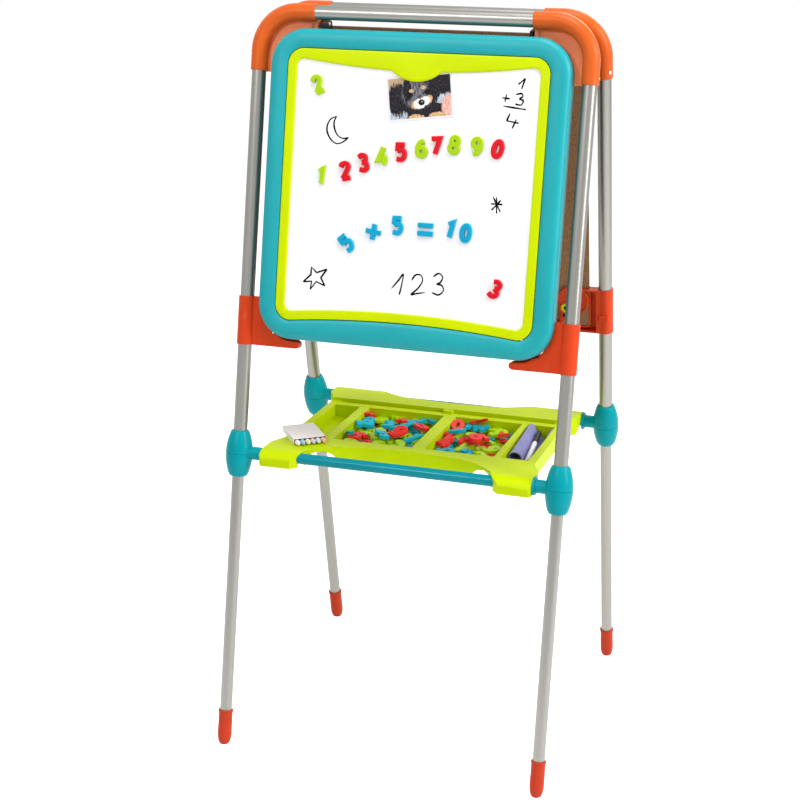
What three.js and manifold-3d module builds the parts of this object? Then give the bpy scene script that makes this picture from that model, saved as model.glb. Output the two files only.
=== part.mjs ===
// Kids' folding easel: two tube frames hinged at the top, a magnetic whiteboard in a moulded
// surround on the front, a chalkboard on the rear, telescoping legs, and a moulded tray that
// pivots on the front crossbar and hooks over the rear one.
// Millimetres, +Z up. The front faces -Y, and left and right are -X and +X.
//
// Each frame is drawn flat and then leaned. In that flat frame x runs across, Y runs towards the
// inside of the easel and Z runs up the tubes from the top rail. Two words are used throughout:
// `out` is the distance in front of the tubes' plane (local -Y), and `down` is the distance
// below the top rail's axis (local -Z).

import * as THREE from 'three';
import { mergeVertices } from 'three/addons/utils/BufferGeometryUtils.js';
import Module from 'manifold-3d';

const wasm = await Module();
wasm.setup();

// ---------------------------------------------------------------- driving dimensions
const GAP = 0.3;                 // running clearance between touching pieces
const SEGMENTS = 20;             // facets round a tube

const RAIL_HEIGHT = 1250;        // top rails' axis above the floor
const RAIL_SPACING = 70;         // between the two top rails
const FOOT_SPREAD = 281;         // from the middle of the easel to each foot, along Y
const HALF_WIDTH = 285;          // from the middle of the easel to the uprights, along X

const TUBE_R = 12;               // uprights and rails, 24 mm tube
const TUBE_BORE = 10.8;
const LEG_R = 10.5;              // lower legs, 21 mm tube
const LEG_BORE = 9.3;
const LEG_TOP = 620;             // down to the hidden top end of the leg

const ELBOW_R = 14.3;            // moulded sleeve over the tube
const ELBOW_BEND = 65;           // radius of the bend's centre line
const ELBOW_REACH = 98.5;        // from the upright's axis to the sleeve's end, along the rail
const ELBOW_DROP = 99;           // from the rail's axis to the sleeve's end, down the upright
const SOCKET = 33;               // how far a tube goes into its sleeve
const WEB = [-12, -7.6];         // the web behind the board, out of the tubes' plane

const BOARD_HALF = 257.5;        // half width of the board
const BOARD_TOP = 27.5;          // down to its top edge
const BOARD_BOTTOM = 546.5;      // down to its bottom edge
const CORNER_R = 60;             // its corner radius
const PANEL_R = 6;               // the chalkboard panel's corner radius
const PANEL_BOTTOM = 552;        // down to the chalkboard panel's bottom edge
const PANEL_FACE = -1.6;         // out to just clear of its writing surface
const RIM = 32;                  // width of the surround's moulding

const BAR_DOWN = 751;            // crossbar axis, down the frame
const BAR_R = 9.5;
const COLLAR_R = 11.5;
const FLANGE_R = 16;

const HUB_TOP = 712.5;
const HUB_SEAM = 753;
const HUB_END = 793;
const HUB_R = 23.5;

const BRACKET_TOP = 480;
const BRACKET_END = 563;

const FOOT_TOP = 1212;
const FOOT_R = 12.2;

const HINGE_HEIGHT = 1228;       // hinge axis above the floor, midway between the rails
const PIN_R = 2.8;
const KNUCKLE = [183.3, 191.7];  // across the hinge's middle leaf, from the middle of the easel
const EARS = [178, 198];         // across the outer faces of the leaves on either side of it
const PIN = [176, 200];          // the pin's ends, under its heads

// worked out from the above
const LEAN = Math.atan2(FOOT_SPREAD - RAIL_SPACING / 2, RAIL_HEIGHT);
const BAR_Y = RAIL_SPACING / 2 + BAR_DOWN * Math.sin(LEAN);
const BAR_Z = RAIL_HEIGHT - BAR_DOWN * Math.cos(LEAN);

// ---------------------------------------------------------------- materials
const finish = (color, roughness, metalness = 0) =>
  new THREE.MeshStandardMaterial({ color, roughness, metalness });

const STEEL = finish(0xb4b6b4, 0.35, 0.9);
const PIN_STEEL = finish(0xd2d2d2, 0.25, 1);
const ORANGE = finish(0xe2501e, 0.4);
const TEAL = finish(0x14a7b0, 0.32);
const LIME = finish(0xc8dc00, 0.35);
const WHITE = finish(0xf6f8fa, 0.15);
const SLATE = finish(0x2b322f, 0.85);
const HARDBOARD = finish(0x8c6542, 0.75);
const BLACK = finish(0x1b1a1c, 0.45);
const CARTON = finish(0xeeeae4, 0.6);
const FELT = finish(0x7d7fc0, 0.95);

// ---------------------------------------------------------------- solids
const signedVolume = (geometry) => {
  const p = geometry.attributes.position;
  const index = geometry.index;
  const [a, b, c] = [new THREE.Vector3(), new THREE.Vector3(), new THREE.Vector3()];
  let six = 0;
  for (let i = 0; i < index.count; i += 3) {
    a.fromBufferAttribute(p, index.getX(i));
    b.fromBufferAttribute(p, index.getX(i + 1));
    c.fromBufferAttribute(p, index.getX(i + 2));
    six += a.dot(b.cross(c));
  }
  return six / 6;
};

// three.js geometry to a manifold solid whose faces point out
function solid(source) {
  const bare = source.clone();
  bare.deleteAttribute('normal');
  bare.deleteAttribute('uv');
  const geometry = mergeVertices(bare, 1e-4);
  const triangles = Uint32Array.from(geometry.index.array);
  if (signedVolume(geometry) < 0) {
    for (let i = 0; i < triangles.length; i += 3) {
      [triangles[i], triangles[i + 1]] = [triangles[i + 1], triangles[i]];
    }
  }
  const vertProperties = Float32Array.from(geometry.attributes.position.array);
  return new wasm.Manifold(new wasm.Mesh({ numProp: 3, vertProperties, triVerts: triangles }));
}

function geometryOf(body) {
  const { vertProperties, triVerts } = body.getMesh();
  const geometry = new THREE.BufferGeometry();
  geometry.setAttribute('position', new THREE.BufferAttribute(vertProperties, 3));
  geometry.setIndex(new THREE.BufferAttribute(triVerts, 1));
  geometry.computeVertexNormals();
  return geometry;
}

const join = (...bodies) => bodies.reduce((sum, body) => sum.add(body));
const cut = (body, ...tools) => tools.reduce((rest, tool) => rest.subtract(tool), body);

function piece(name, body, material) {
  const mesh = new THREE.Mesh(geometryOf(body), material);
  mesh.name = name;
  return mesh;
}

// a rod or tube up and down the frame, at x across it
function rod(radius, top, end, x = 0, facets = SEGMENTS) {
  const geometry = new THREE.CylinderGeometry(radius, radius, end - top, facets);
  geometry.rotateX(Math.PI / 2).translate(x, 0, -(top + end) / 2);
  return solid(geometry);
}

const tube = (radius, bore, top, end, x) =>
  cut(rod(radius, top, end, x), rod(bore, top - 1, end + 1, x));

// a rod across the frame, from x0 to x1, on the axis `inward` behind it and `down` below the rail
function crossRod(radius, x0, x1, down = 0, inward = 0, facets = SEGMENTS) {
  const geometry = new THREE.CylinderGeometry(radius, radius, Math.abs(x1 - x0), facets);
  geometry.rotateZ(Math.PI / 2).translate((x0 + x1) / 2, inward, -down);
  return solid(geometry);
}

// a flat outline in the frame's plane, thickened from `out0` to `out1`
function slab(points, out0, out1) {
  const shape = new THREE.Shape(points.map(([x, down]) => new THREE.Vector2(x, -down)));
  const geometry = new THREE.ExtrudeGeometry(shape, { depth: out1 - out0, bevelEnabled: false });
  geometry.translate(0, 0, out0).rotateX(Math.PI / 2);
  return solid(geometry);
}

// an outline in the Y-Z plane, thickened from x0 to x1
function fin(points, x0, x1) {
  const shape = new THREE.Shape(points.map(([y, z]) => new THREE.Vector2(y, z)));
  const geometry = new THREE.ExtrudeGeometry(shape, { depth: x1 - x0, bevelEnabled: false });
  geometry.translate(0, 0, x0);
  const toYZ = new THREE.Matrix4().makeBasis(
    new THREE.Vector3(0, 1, 0), new THREE.Vector3(0, 0, 1), new THREE.Vector3(1, 0, 0));
  return solid(geometry.applyMatrix4(toYZ));
}

function block([x0, x1], [y0, y1], [z0, z1]) {
  const geometry = new THREE.BoxGeometry(x1 - x0, y1 - y0, z1 - z0);
  geometry.translate((x0 + x1) / 2, (y0 + y1) / 2, (z0 + z1) / 2);
  return solid(geometry);
}

// a profile of [radius, down] pairs turned about the upright at x
function turned(profile, x) {
  const closed = [...profile, profile[0]].map(([r, down]) => new THREE.Vector2(r, -down));
  const geometry = new THREE.LatheGeometry(closed, SEGMENTS);
  geometry.rotateX(Math.PI / 2).translate(x, 0, 0);
  return solid(geometry);
}

const arc = (cx, cy, r, from, to, steps) =>
  Array.from({ length: steps + 1 }, (_, i) => {
    const a = from + (to - from) * i / steps;
    return [cx + r * Math.cos(a), cy + r * Math.sin(a)];
  });

const ellipse = (cx, cy, rx, ry, from, to, steps = 5) =>
  arc(0, 0, 1, from, to, steps).map(([x, y]) => [cx + rx * x, cy + ry * y]);

// ---------------------------------------------------------------- top elbows
// up the upright, round the bend and along the rail
class BendCurve extends THREE.Curve {
  constructor(side) {
    super();
    this.side = side;
  }

  getPoint(u) {
    const rise = ELBOW_DROP - ELBOW_BEND;
    const turn = ELBOW_BEND * Math.PI / 2;
    const run = ELBOW_REACH - ELBOW_BEND;
    const s = u * (rise + turn + run);
    const bend = Math.min(Math.max((s - rise) / ELBOW_BEND, 0), Math.PI / 2);
    const x = ELBOW_BEND * (1 - Math.cos(bend)) + Math.max(s - rise - turn, 0);
    const z = Math.min(s, rise) - ELBOW_DROP + ELBOW_BEND * Math.sin(bend);
    return new THREE.Vector3(this.side * (HALF_WIDTH - x), 0, z);
  }
}

function bend(side) {
  const circle = new THREE.Shape().absarc(0, 0, ELBOW_R, 0, Math.PI * 2);
  return solid(new THREE.ExtrudeGeometry(circle, {
    extrudePath: new BendCurve(side), steps: 13, curveSegments: SEGMENTS / 2,
  }));
}

// the web in the corner, which the board is screwed to
function cornerWeb(side, reach) {
  const hollow = CORNER_R - 18;
  const centre = [BOARD_HALF - CORNER_R, BOARD_TOP + CORNER_R];
  const drop = ELBOW_DROP + 1;
  const start = Math.asin((drop - centre[1]) / hollow);
  const edge = arc(...centre, hollow, start, -Math.PI / 2 - 0.12, 10);
  const outside = arc(HALF_WIDTH - ELBOW_BEND, ELBOW_BEND, ELBOW_BEND, 0, -Math.PI / 2, 6);
  const outline = [[HALF_WIDTH, drop], ...outside, [reach, 0], [reach, 46], ...edge.reverse()];
  return slab(outline.map(([x, down]) => [side * x, down]), ...WEB);
}

// hinge axis in the flat frame: inward of the tubes, and down from the rail
const hingeOffset = [RAIL_SPACING / 2, RAIL_HEIGHT - HINGE_HEIGHT];
const HINGE_IN = hingeOffset[0] * Math.cos(LEAN) + hingeOffset[1] * Math.sin(LEAN);
const HINGE_DOWN = hingeOffset[1] * Math.cos(LEAN) - hingeOffset[0] * Math.sin(LEAN);

// a rod on the hinge axis, from under one head of the pin to under the other
const hingeRod = (side, r, [from, to] = [EARS[0] - 4, EARS[1] + 4]) =>
  crossRod(r, side * from, side * to, HINGE_DOWN, HINGE_IN, 12);

// a hinge leaf: an eye on the hinge axis and an arm back to a foot on the web
function leaf(eyeR, x0, x1, footDown, footIn) {
  const eye = arc(HINGE_IN, -HINGE_DOWN, eyeR, -Math.PI * 0.45, Math.PI * 0.62, 12);
  return fin([...eye, [footIn, -footDown[0]], [footIn, -footDown[1]]], x0, x1);
}

function elbow(name, side, hinged) {
  const rail = HALF_WIDTH - ELBOW_REACH;
  let body = join(bend(side), cornerWeb(side, rail));
  if (hinged) {
    const foot = [[EARS[0], 30], [rail + 14, 30], [rail + 14, 50], [EARS[0], 50]];
    const ears = [[EARS[0], KNUCKLE[0] - GAP], [KNUCKLE[1] + GAP, EARS[1]]].map(([a, b]) =>
      leaf(8, Math.min(side * a, side * b), Math.max(side * a, side * b), [17, 46], -WEB[1]));
    body = join(body, slab(foot.map(([x, down]) => [side * x, down]), ...WEB), ...ears);
    body = cut(body, hingeRod(side, PIN_R + GAP));
  }
  body = cut(body,
    rod(TUBE_R + GAP, ELBOW_DROP - SOCKET - GAP, ELBOW_DROP + 30, side * HALF_WIDTH),
    crossRod(TUBE_R + GAP, side * (rail - 30), side * (rail + SOCKET + GAP)));
  return piece(name, body, ORANGE);
}

// ---------------------------------------------------------------- board
const flat = () => 0;

// A board outline, clockwise from the top left corner, as [x, down] pairs. topBow and bottomBow
// push the edges down or up by a function of x.
function boardOutline({ inset, radius, end = BOARD_BOTTOM, topSteps = 1, steps = 1,
  topBow = flat, bottomBow = flat }) {
  const half = BOARD_HALF - inset;
  const [top, bottom] = [BOARD_TOP + inset, end - inset];
  const straight = half - radius;
  const quarter = Math.PI / 2;
  const corner = (cx, cy, from) => arc(cx, cy, radius, from, from + quarter, 6);
  const across = (count) =>
    Array.from({ length: count - 1 }, (_, i) => straight * (2 * (i + 1) / count - 1));
  const points = [
    ...corner(-straight, top + radius, -2 * quarter),
    ...across(topSteps).map((x) => [x, top]),
    ...corner(straight, top + radius, -quarter),
    ...corner(straight, bottom - radius, 0),
    ...across(steps).map((x) => [-x, bottom]),
    ...corner(-straight, bottom - radius, quarter),
  ];
  return points.map(([x, down]) => {
    const bow = down < (top + bottom) / 2 ? topBow(x) : -bottomBow(x);
    return [x, down + bow];
  });
}

const between = (a, b, k) => a.map(([x, down], i) => [
  x + (b[i][0] - x) * k, down + (b[i][1] - down) * k]);

// A closed moulding between two outlines that correspond point by point. The profile is a closed
// list of [share of the way from outer to inner, out] pairs.
function moulding(outer, inner, profile) {
  const [rows, cols] = [outer.length, profile.length];
  const positions = [];
  for (let i = 0; i < rows; i++) {
    for (const [share, out] of profile) {
      const x = outer[i][0] + (inner[i][0] - outer[i][0]) * share;
      const down = outer[i][1] + (inner[i][1] - outer[i][1]) * share;
      positions.push(x, -out, -down);
    }
  }
  const indices = [];
  for (let i = 0; i < rows; i++) {
    for (let j = 0; j < cols; j++) {
      const [a, b] = [i * cols + j, i * cols + (j + 1) % cols];
      const [c, d] = [a, b].map((k) => (k + cols) % (rows * cols));
      indices.push(a, c, b, b, c, d);
    }
  }
  const geometry = new THREE.BufferGeometry();
  geometry.setAttribute('position', new THREE.Float32BufferAttribute(positions, 3));
  geometry.setIndex(indices);
  return solid(geometry);
}

const BOW_STEPS = 10;
const CROWN_STEPS = 32;

// the window's bottom edge arches up, and its top edge swells down to a tongue in the middle
const arch = (x) => 11 * Math.max(0, 1 - (x / 200) ** 2);
const TONGUE = { half: 43, r: 66 };
function crown(x) {
  const swell = 15 * Math.max(0, 1 - (x / 200) ** 2);
  const { half, r } = TONGUE;
  const tongue = Math.sqrt(Math.max(r * r - x * x, 0)) - Math.sqrt(r * r - half * half);
  return swell + Math.max(tongue, 0);
}

function surround() {
  const outer = boardOutline({ inset: 0, radius: CORNER_R, steps: BOW_STEPS });
  const inner = boardOutline({
    inset: RIM, radius: CORNER_R - RIM, steps: BOW_STEPS, bottomBow: arch });
  const section = [[0, -7.2], [0, 12], [0.03, 15.5], [0.1, 18.8], [0.22, 21.4], [0.38, 22.9],
    [0.6, 23], [0.85, 22.2], [1, 20.6], [1, -7.2]];
  return moulding(outer, inner, section);
}

const bezelOuter = boardOutline({ inset: RIM + GAP, radius: CORNER_R - RIM - GAP,
  topSteps: CROWN_STEPS, steps: BOW_STEPS, bottomBow: arch });
const bezelInner = boardOutline({ inset: RIM + 17, radius: 13,
  topSteps: CROWN_STEPS, steps: BOW_STEPS, topBow: crown, bottomBow: arch });

const bezel = () => moulding(bezelOuter, bezelInner, [
  [0, 9], [0, 20.2], [0.06, 21.2], [0.85, 21], [1, 19.4], [1, 17.8], [0.3, 17.8], [0.3, 9]]);

// ---------------------------------------------------------------- lower brackets
const BRACKET_OUT = [-13.2, 3.4];     // across the bracket, out of the tubes' plane
const BRACKET_WALL = 2.8;
const DISH = { x: 230.5, down: 502.5, r: 27.5 };
const BUTTON = { x: 216.5, down: 518, r: 8.4 };
const TIP = { x: 192, r: 7 };         // the finger under the board

const circleOf = (x, down, r, steps = 18) =>
  arc(x, down, r, 0, Math.PI * 2, steps).slice(0, -1);

// A sleeve on the upright and a flat face that meets the board's corner. Behind the face is a
// housing, open to the inside, with a dished plate that holds the board's turn-button.
function bracket(name, side, { radius, end, lip }) {
  const mirror = (points) => points.map(([x, down]) => [side * x, down]);
  const shape = (points, ...span) => slab(mirror(points), ...span);
  const [back, face] = BRACKET_OUT;
  const upright = side * HALF_WIDTH;
  const lift = BRACKET_END - TIP.r;
  const tip = arc(TIP.x, lift, TIP.r, -Math.PI / 2, -Math.PI * 1.5, 8);
  const left = DISH.x - DISH.r;

  const dished = arc(DISH.x, DISH.down, DISH.r, -2.18, -Math.PI, 4);
  const plate = shape([[HALF_WIDTH, BRACKET_TOP], [DISH.x - 12, BRACKET_TOP], ...dished,
    [left + 3, 546], ...tip, [HALF_WIDTH, BRACKET_END]], back, WEB[1]);
  const front = shape([[HALF_WIDTH, BRACKET_TOP], [245, BRACKET_TOP], [235, 540],
    ...tip, [HALF_WIDTH, BRACKET_END]], back, face);
  const sleeve = rod(ELBOW_R, BRACKET_TOP, BRACKET_END, upright);

  // the board's corner, with a gap under the board that opens towards the finger
  const room = (x) => -4.4 * Math.min(1, (BOARD_HALF - Math.abs(x)) / 45);
  const seat = boardOutline({ inset: -0.4, radius: radius + 0.4, end, bottomBow: room });
  const open = boardOutline({ inset: 2, radius: radius - 2, end, bottomBow: room });
  const cradle = join(slab(seat, WEB[1] - GAP, lip), slab(open, WEB[1] - GAP, 30));

  const inside = [BRACKET_TOP + BRACKET_WALL, BRACKET_END - BRACKET_WALL];
  const near = HALF_WIDTH - ELBOW_R;
  const around = { inset: -0.4 - BRACKET_WALL, radius: radius + 0.4 + BRACKET_WALL };
  const housing = cut(shape([[DISH.x + 3.5, inside[0]], [near, inside[0]], [near, inside[1]],
    [DISH.x + 3.5, inside[1]]], back - 5, face - BRACKET_WALL),
    slab(boardOutline({ ...around, end, bottomBow: room }), WEB[1], face));
  const dish = shape(circleOf(DISH.x, DISH.down, DISH.r, 28), back - 6, face);

  const rim = shape([...arc(DISH.x, DISH.down, DISH.r, -0.6, 1.1, 8),
    ...arc(DISH.x, DISH.down, DISH.r - BRACKET_WALL, 1.1, -0.6, 8)], back - 2.2, back + 1);
  const boss = shape(circleOf(BUTTON.x, BUTTON.down, BUTTON.r + 2.4), back - 2.2, back + 1);
  const bore = shape(circleOf(BUTTON.x, BUTTON.down, BUTTON.r + GAP), back - 6, WEB[1] + 1);
  const stop = block([upright - 8, upright + 8], [12.9, 16.6], [-537, -527]);

  const body = cut(join(plate, cut(front, cradle)), cut(housing, dish));
  return piece(name, cut(join(body, sleeve, rim, boss, stop), bore,
    rod(TUBE_R + GAP, BRACKET_TOP - 5, BRACKET_END + 5, upright)), ORANGE);
}

// the turn-button in the boss, which clamps the board to the bracket
function boardButton(name, side) {
  const ring = (r) => circleOf(side * BUTTON.x, BUTTON.down, r);
  return piece(name, cut(slab(ring(BUTTON.r), BRACKET_OUT[0] - 1.6, WEB[1]),
    slab(ring(4.2), BRACKET_OUT[0] - 5, WEB[1] - 2.4)), LIME);
}

// ---------------------------------------------------------------- hubs, crossbar, legs, feet
const collarSocket = (side) =>
  crossRod(COLLAR_R + GAP, side * (HALF_WIDTH - 12.6), side * (HALF_WIDTH - 40), BAR_DOWN);

function hubUpper(name, side) {
  const [x, bore] = [side * HALF_WIDTH, TUBE_R + GAP];
  const body = turned([[bore, HUB_TOP], [15, HUB_TOP], [18.4, 722], [21, 732],
    [22.9, 742], [HUB_R, HUB_SEAM], [bore, HUB_SEAM]], x);
  return piece(name, cut(body, collarSocket(side)), TEAL);
}

function hubLower(name, side) {
  const [x, bore, seam] = [side * HALF_WIDTH, LEG_R + GAP, HUB_SEAM + GAP];
  const body = turned([[bore, seam], [HUB_R - 0.2, seam], [22.9, 764], [21.2, 775],
    [18.2, 786], [15, HUB_END], [bore, HUB_END]], x);
  return piece(name, cut(body, collarSocket(side)), TEAL);
}

function crossbar(name) {
  const end = HALF_WIDTH - 13.4;
  return piece(name, cut(crossRod(BAR_R, -end, end, BAR_DOWN),
    crossRod(BAR_R - 1.2, -end - 1, end + 1, BAR_DOWN)), TEAL);
}

// a collar on the bar's end, with a flange against the tray on the right-hand side
function barCollar(name, side, flanged) {
  const face = BLOCK_HALF + 0.5;
  const [end, shoulder] = [HALF_WIDTH - 13.2, face + 4];
  let body = crossRod(COLLAR_R, side * face, side * end, BAR_DOWN);
  if (flanged) body = join(body, crossRod(FLANGE_R, side * face, side * shoulder, BAR_DOWN));
  return piece(name, cut(body, crossRod(BAR_R + GAP, side * 240, side * 280, BAR_DOWN)), TEAL);
}

const leg = (name, side) =>
  piece(name, tube(LEG_R, LEG_BORE, LEG_TOP, FOOT_TOP + 48, side * HALF_WIDTH), STEEL);

// a domed boot on the leg's end, with a flat sole where it meets the floor
function foot(name, side, toWorld) {
  const x = side * HALF_WIDTH;
  const profile = [[LEG_R + GAP, FOOT_TOP], [13.1, FOOT_TOP], [13.1, FOOT_TOP + 4],
    [FOOT_R, FOOT_TOP + 5], [FOOT_R + 0.2, 1257], [10.8, 1268], [6.4, 1276],
    [0, 1279], [0, FOOT_TOP + 48.5], [LEG_R + GAP, FOOT_TOP + 48.5]];
  const below = new THREE.BoxGeometry(80, 80, 60).translate(0, 0, -30);
  below.translate(toWorld.x * side, toWorld.y, 0).applyMatrix4(toWorld.inverse);
  return piece(name, cut(turned(profile, x), solid(below)), ORANGE);
}

// ---------------------------------------------------------------- one leaning frame
function leaningFrame(end) {
  const front = end === 'front';
  const group = new THREE.Group();
  group.rotation.set(-LEAN, 0, front ? 0 : Math.PI, 'ZYX');
  group.position.set(0, (front ? -1 : 1) * RAIL_SPACING / 2, RAIL_HEIGHT);
  group.updateMatrixWorld();
  const turn = front ? 1 : -1;
  const toWorld = {
    x: turn * HALF_WIDTH, y: -turn * FOOT_SPREAD, inverse: group.matrixWorld.clone().invert() };

  const corner = front ? { radius: CORNER_R, end: BOARD_BOTTOM, lip: 30 }
    : { radius: PANEL_R, end: PANEL_BOTTOM, lip: PANEL_FACE };
  const rail = HALF_WIDTH - ELBOW_REACH + SOCKET;
  group.add(piece(`${end}_top_rail`, cut(crossRod(TUBE_R, -rail, rail),
    crossRod(TUBE_BORE, -rail - 1, rail + 1)), STEEL));
  group.add(crossbar(`${end}_crossbar`));
  for (const [word, x] of [['left', -1], ['right', 1]]) {
    const side = turn * x;
    const name = (what) => `${end}_${what}_${word}`;
    const upright = tube(TUBE_R, TUBE_BORE, ELBOW_DROP - SOCKET, HUB_SEAM - 2, side * HALF_WIDTH);
    group.add(
      piece(name('upright'), upright, STEEL), elbow(name('elbow'), side, front),
      bracket(name('bracket'), side, corner), boardButton(name('board_button'), side),
      hubUpper(name('hub'), side), hubLower(name('hub_cap'), side),
      barCollar(name('bar_collar'), side, x > 0), leg(name('leg'), side),
      foot(name('foot'), side, toWorld));
  }
  return group;
}

function whiteboardSide(group) {
  const panel = boardOutline({
    inset: RIM + 2 * GAP, radius: CORNER_R - RIM, steps: BOW_STEPS, bottomBow: arch });
  group.add(
    piece('board_surround', surround(), TEAL),
    piece('whiteboard_bezel', bezel(), LIME),
    piece('whiteboard_sheet', slab(between(bezelOuter, bezelInner, 0.34), 16.4, 17.5), WHITE),
    piece('whiteboard_back', slab(panel, -6.6, -3.4), HARDBOARD));
  for (const [word, side] of [['left', -1], ['right', 1]]) {
    const [inner, outer] = PIN;
    const pin = join(hingeRod(side, PIN_R, PIN),
      hingeRod(side, PIN_R + 1.8, [outer, outer + 2]),
      hingeRod(side, PIN_R + 1.8, [inner - 2, inner]));
    group.add(piece(`hinge_pin_${word}`, pin, PIN_STEEL));
  }
}

// the rear frame carries the chalkboard and the hinges' middle leaves
function chalkboardSide(group) {
  const outline = boardOutline({ inset: 0, radius: PANEL_R, end: PANEL_BOTTOM });
  group.add(
    piece('chalkboard_panel', slab(outline, -7.2, -3.2), HARDBOARD),
    piece('chalkboard_face', slab(outline, -2.9, -1.9), SLATE));
  for (const [word, x] of [['left', -1], ['right', 1]]) {
    const side = -x;
    const [a, b] = KNUCKLE.map((k) => side * k).sort((p, q) => p - q);
    const pad = [[KNUCKLE[0], 17], [212, 17], [212, 40], [KNUCKLE[0], 40]];
    const base = slab(pad.map(([px, down]) => [side * px, down]), WEB[0] - 4, WEB[0] - GAP);
    const knuckle = cut(join(leaf(7.6, a, b, [18, 38], -WEB[0] + 2), base),
      hingeRod(side, PIN_R + GAP));
    group.add(piece(`hinge_knuckle_${word}`, knuckle, BLACK));
  }
}

// ---------------------------------------------------------------- tray
const TRAY_TOP = BAR_Z + 12;          // deck, just clear of the bars
const TRAY_FOOT = BAR_Z - 14.5;       // bottom edge of the skirt
const TRAY_WALL = 2.4;
const LEDGE_TOP = TRAY_TOP + 5.5;     // the raised rear ledge
const LEDGE_FRONT = 107;
const BLOCK_HALF = 241;               // half width over the corner blocks
const BLOCK_OUT = BAR_Y + 20;         // front of the corner blocks
const EXIT = 0.62;                    // fall per millimetre of the rear bar's way out
const ROLL = [26, 17];                // how far the rolled edges reach in, and down
const TUB = { x: 211, y0: -96, y1: 99, floor: 3 };
const RIBS = [198, 228];              // ribs inside a corner block, which ride on the bars
const DIVIDERS = [[-161, -143], [2, 25], [150, 161]];

const FRONT_EDGE = [
  [0, -117], [71, -123], [110, -131], [141, -144], [163, -157], [176, -172], [181, -188], [191, -199]];
const REAR_EDGE = [
  [190, 200], [174, 200], [160, 192], [141, 180], [124, 170], [92, 157], [50, 153], [0, 151]];
const WAIST = 225;                    // half width between the blocks

// Half of the tray's plan, from the middle of the front edge round to the middle of the rear one,
// then the same again on the left. The corner blocks stand out past the waist.
function trayPlan() {
  const spline = (points) =>
    new THREE.SplineCurve(points.map(([x, y]) => new THREE.Vector2(x, y))).getSpacedPoints(12)
      .map(({ x, y }) => [x, y]);
  const flank = (from, to) => Array.from({ length: 5 }, (_, i) => {
    const ease = (1 + Math.cos(Math.PI * i / 4)) / 2;
    return [WAIST + (BLOCK_HALF - WAIST) * ease, from + (to - from) * i / 4];
  });
  const cut = 4;
  const half = [
    ...spline(FRONT_EDGE), [BLOCK_HALF - cut, -BLOCK_OUT],
    [BLOCK_HALF, cut - BLOCK_OUT], ...flank(-150, -104), ...flank(150, 108).reverse(),
    [BLOCK_HALF, BLOCK_OUT - cut], [BLOCK_HALF - cut, BLOCK_OUT], ...spline(REAR_EDGE)];
  return [...half, ...half.slice(1, -1).reverse().map(([x, y]) => [-x, y])];
}

// an anticlockwise outline moved in by `distance`, with its corners kept
function shrink(points, distance) {
  const inward = ([ax, ay], [bx, by]) => new THREE.Vector2(ay - by, bx - ax).normalize();
  return points.map(([x, y], i) => {
    const before = inward(points.at(i - 1), points[i]);
    const after = inward(points[i], points[(i + 1) % points.length]);
    const middle = before.add(after).normalize();
    const reach = distance / middle.dot(after);
    return [x + middle.x * reach, y + middle.y * reach];
  });
}

// the tray's section along Y: a deck that rolls over both bars, and the raised rear ledge
function trayProfile(inset, bottom) {
  const [top, ledge, out] = [TRAY_TOP - inset, LEDGE_TOP - inset, BLOCK_OUT - inset];
  const [long, high] = [ROLL[0] - inset, ROLL[1] - inset];
  return [
    [-out, bottom], ...ellipse(long - out, top - high, long, high, Math.PI, Math.PI / 2, 8),
    [LEDGE_FRONT + inset, top], [LEDGE_FRONT + inset + 0.5, ledge],
    ...ellipse(out - long, ledge - high, long, high, Math.PI / 2, 0, 8), [out, bottom]];
}

function plan(points, z0, z1) {
  const shape = new THREE.Shape(points.map(([x, y]) => new THREE.Vector2(x, y)));
  const geometry = new THREE.ExtrudeGeometry(shape, { depth: z1 - z0, bevelEnabled: false });
  return solid(geometry.translate(0, 0, z0));
}

// The opening in the skirt where it crosses a bar, as [x, z] pairs: it rises slowly from the
// middle of the tray to a crown over the bar, and drops quickly beside the corner block.
const CROWN = { x: 152, z: BAR_Z + 6.5, outside: 175 };
const ARCH = [
  ...[112, 120, 128, 136, 144].map((x) => [x, CROWN.z - 8 * ((CROWN.x - x) / 22) ** 2]),
  ...ellipse(CROWN.x, CROWN.z - 10.5, CROWN.outside - CROWN.x, 10.5, Math.PI / 2, 0, 7),
  [CROWN.outside, TRAY_FOOT - 5]];

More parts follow.
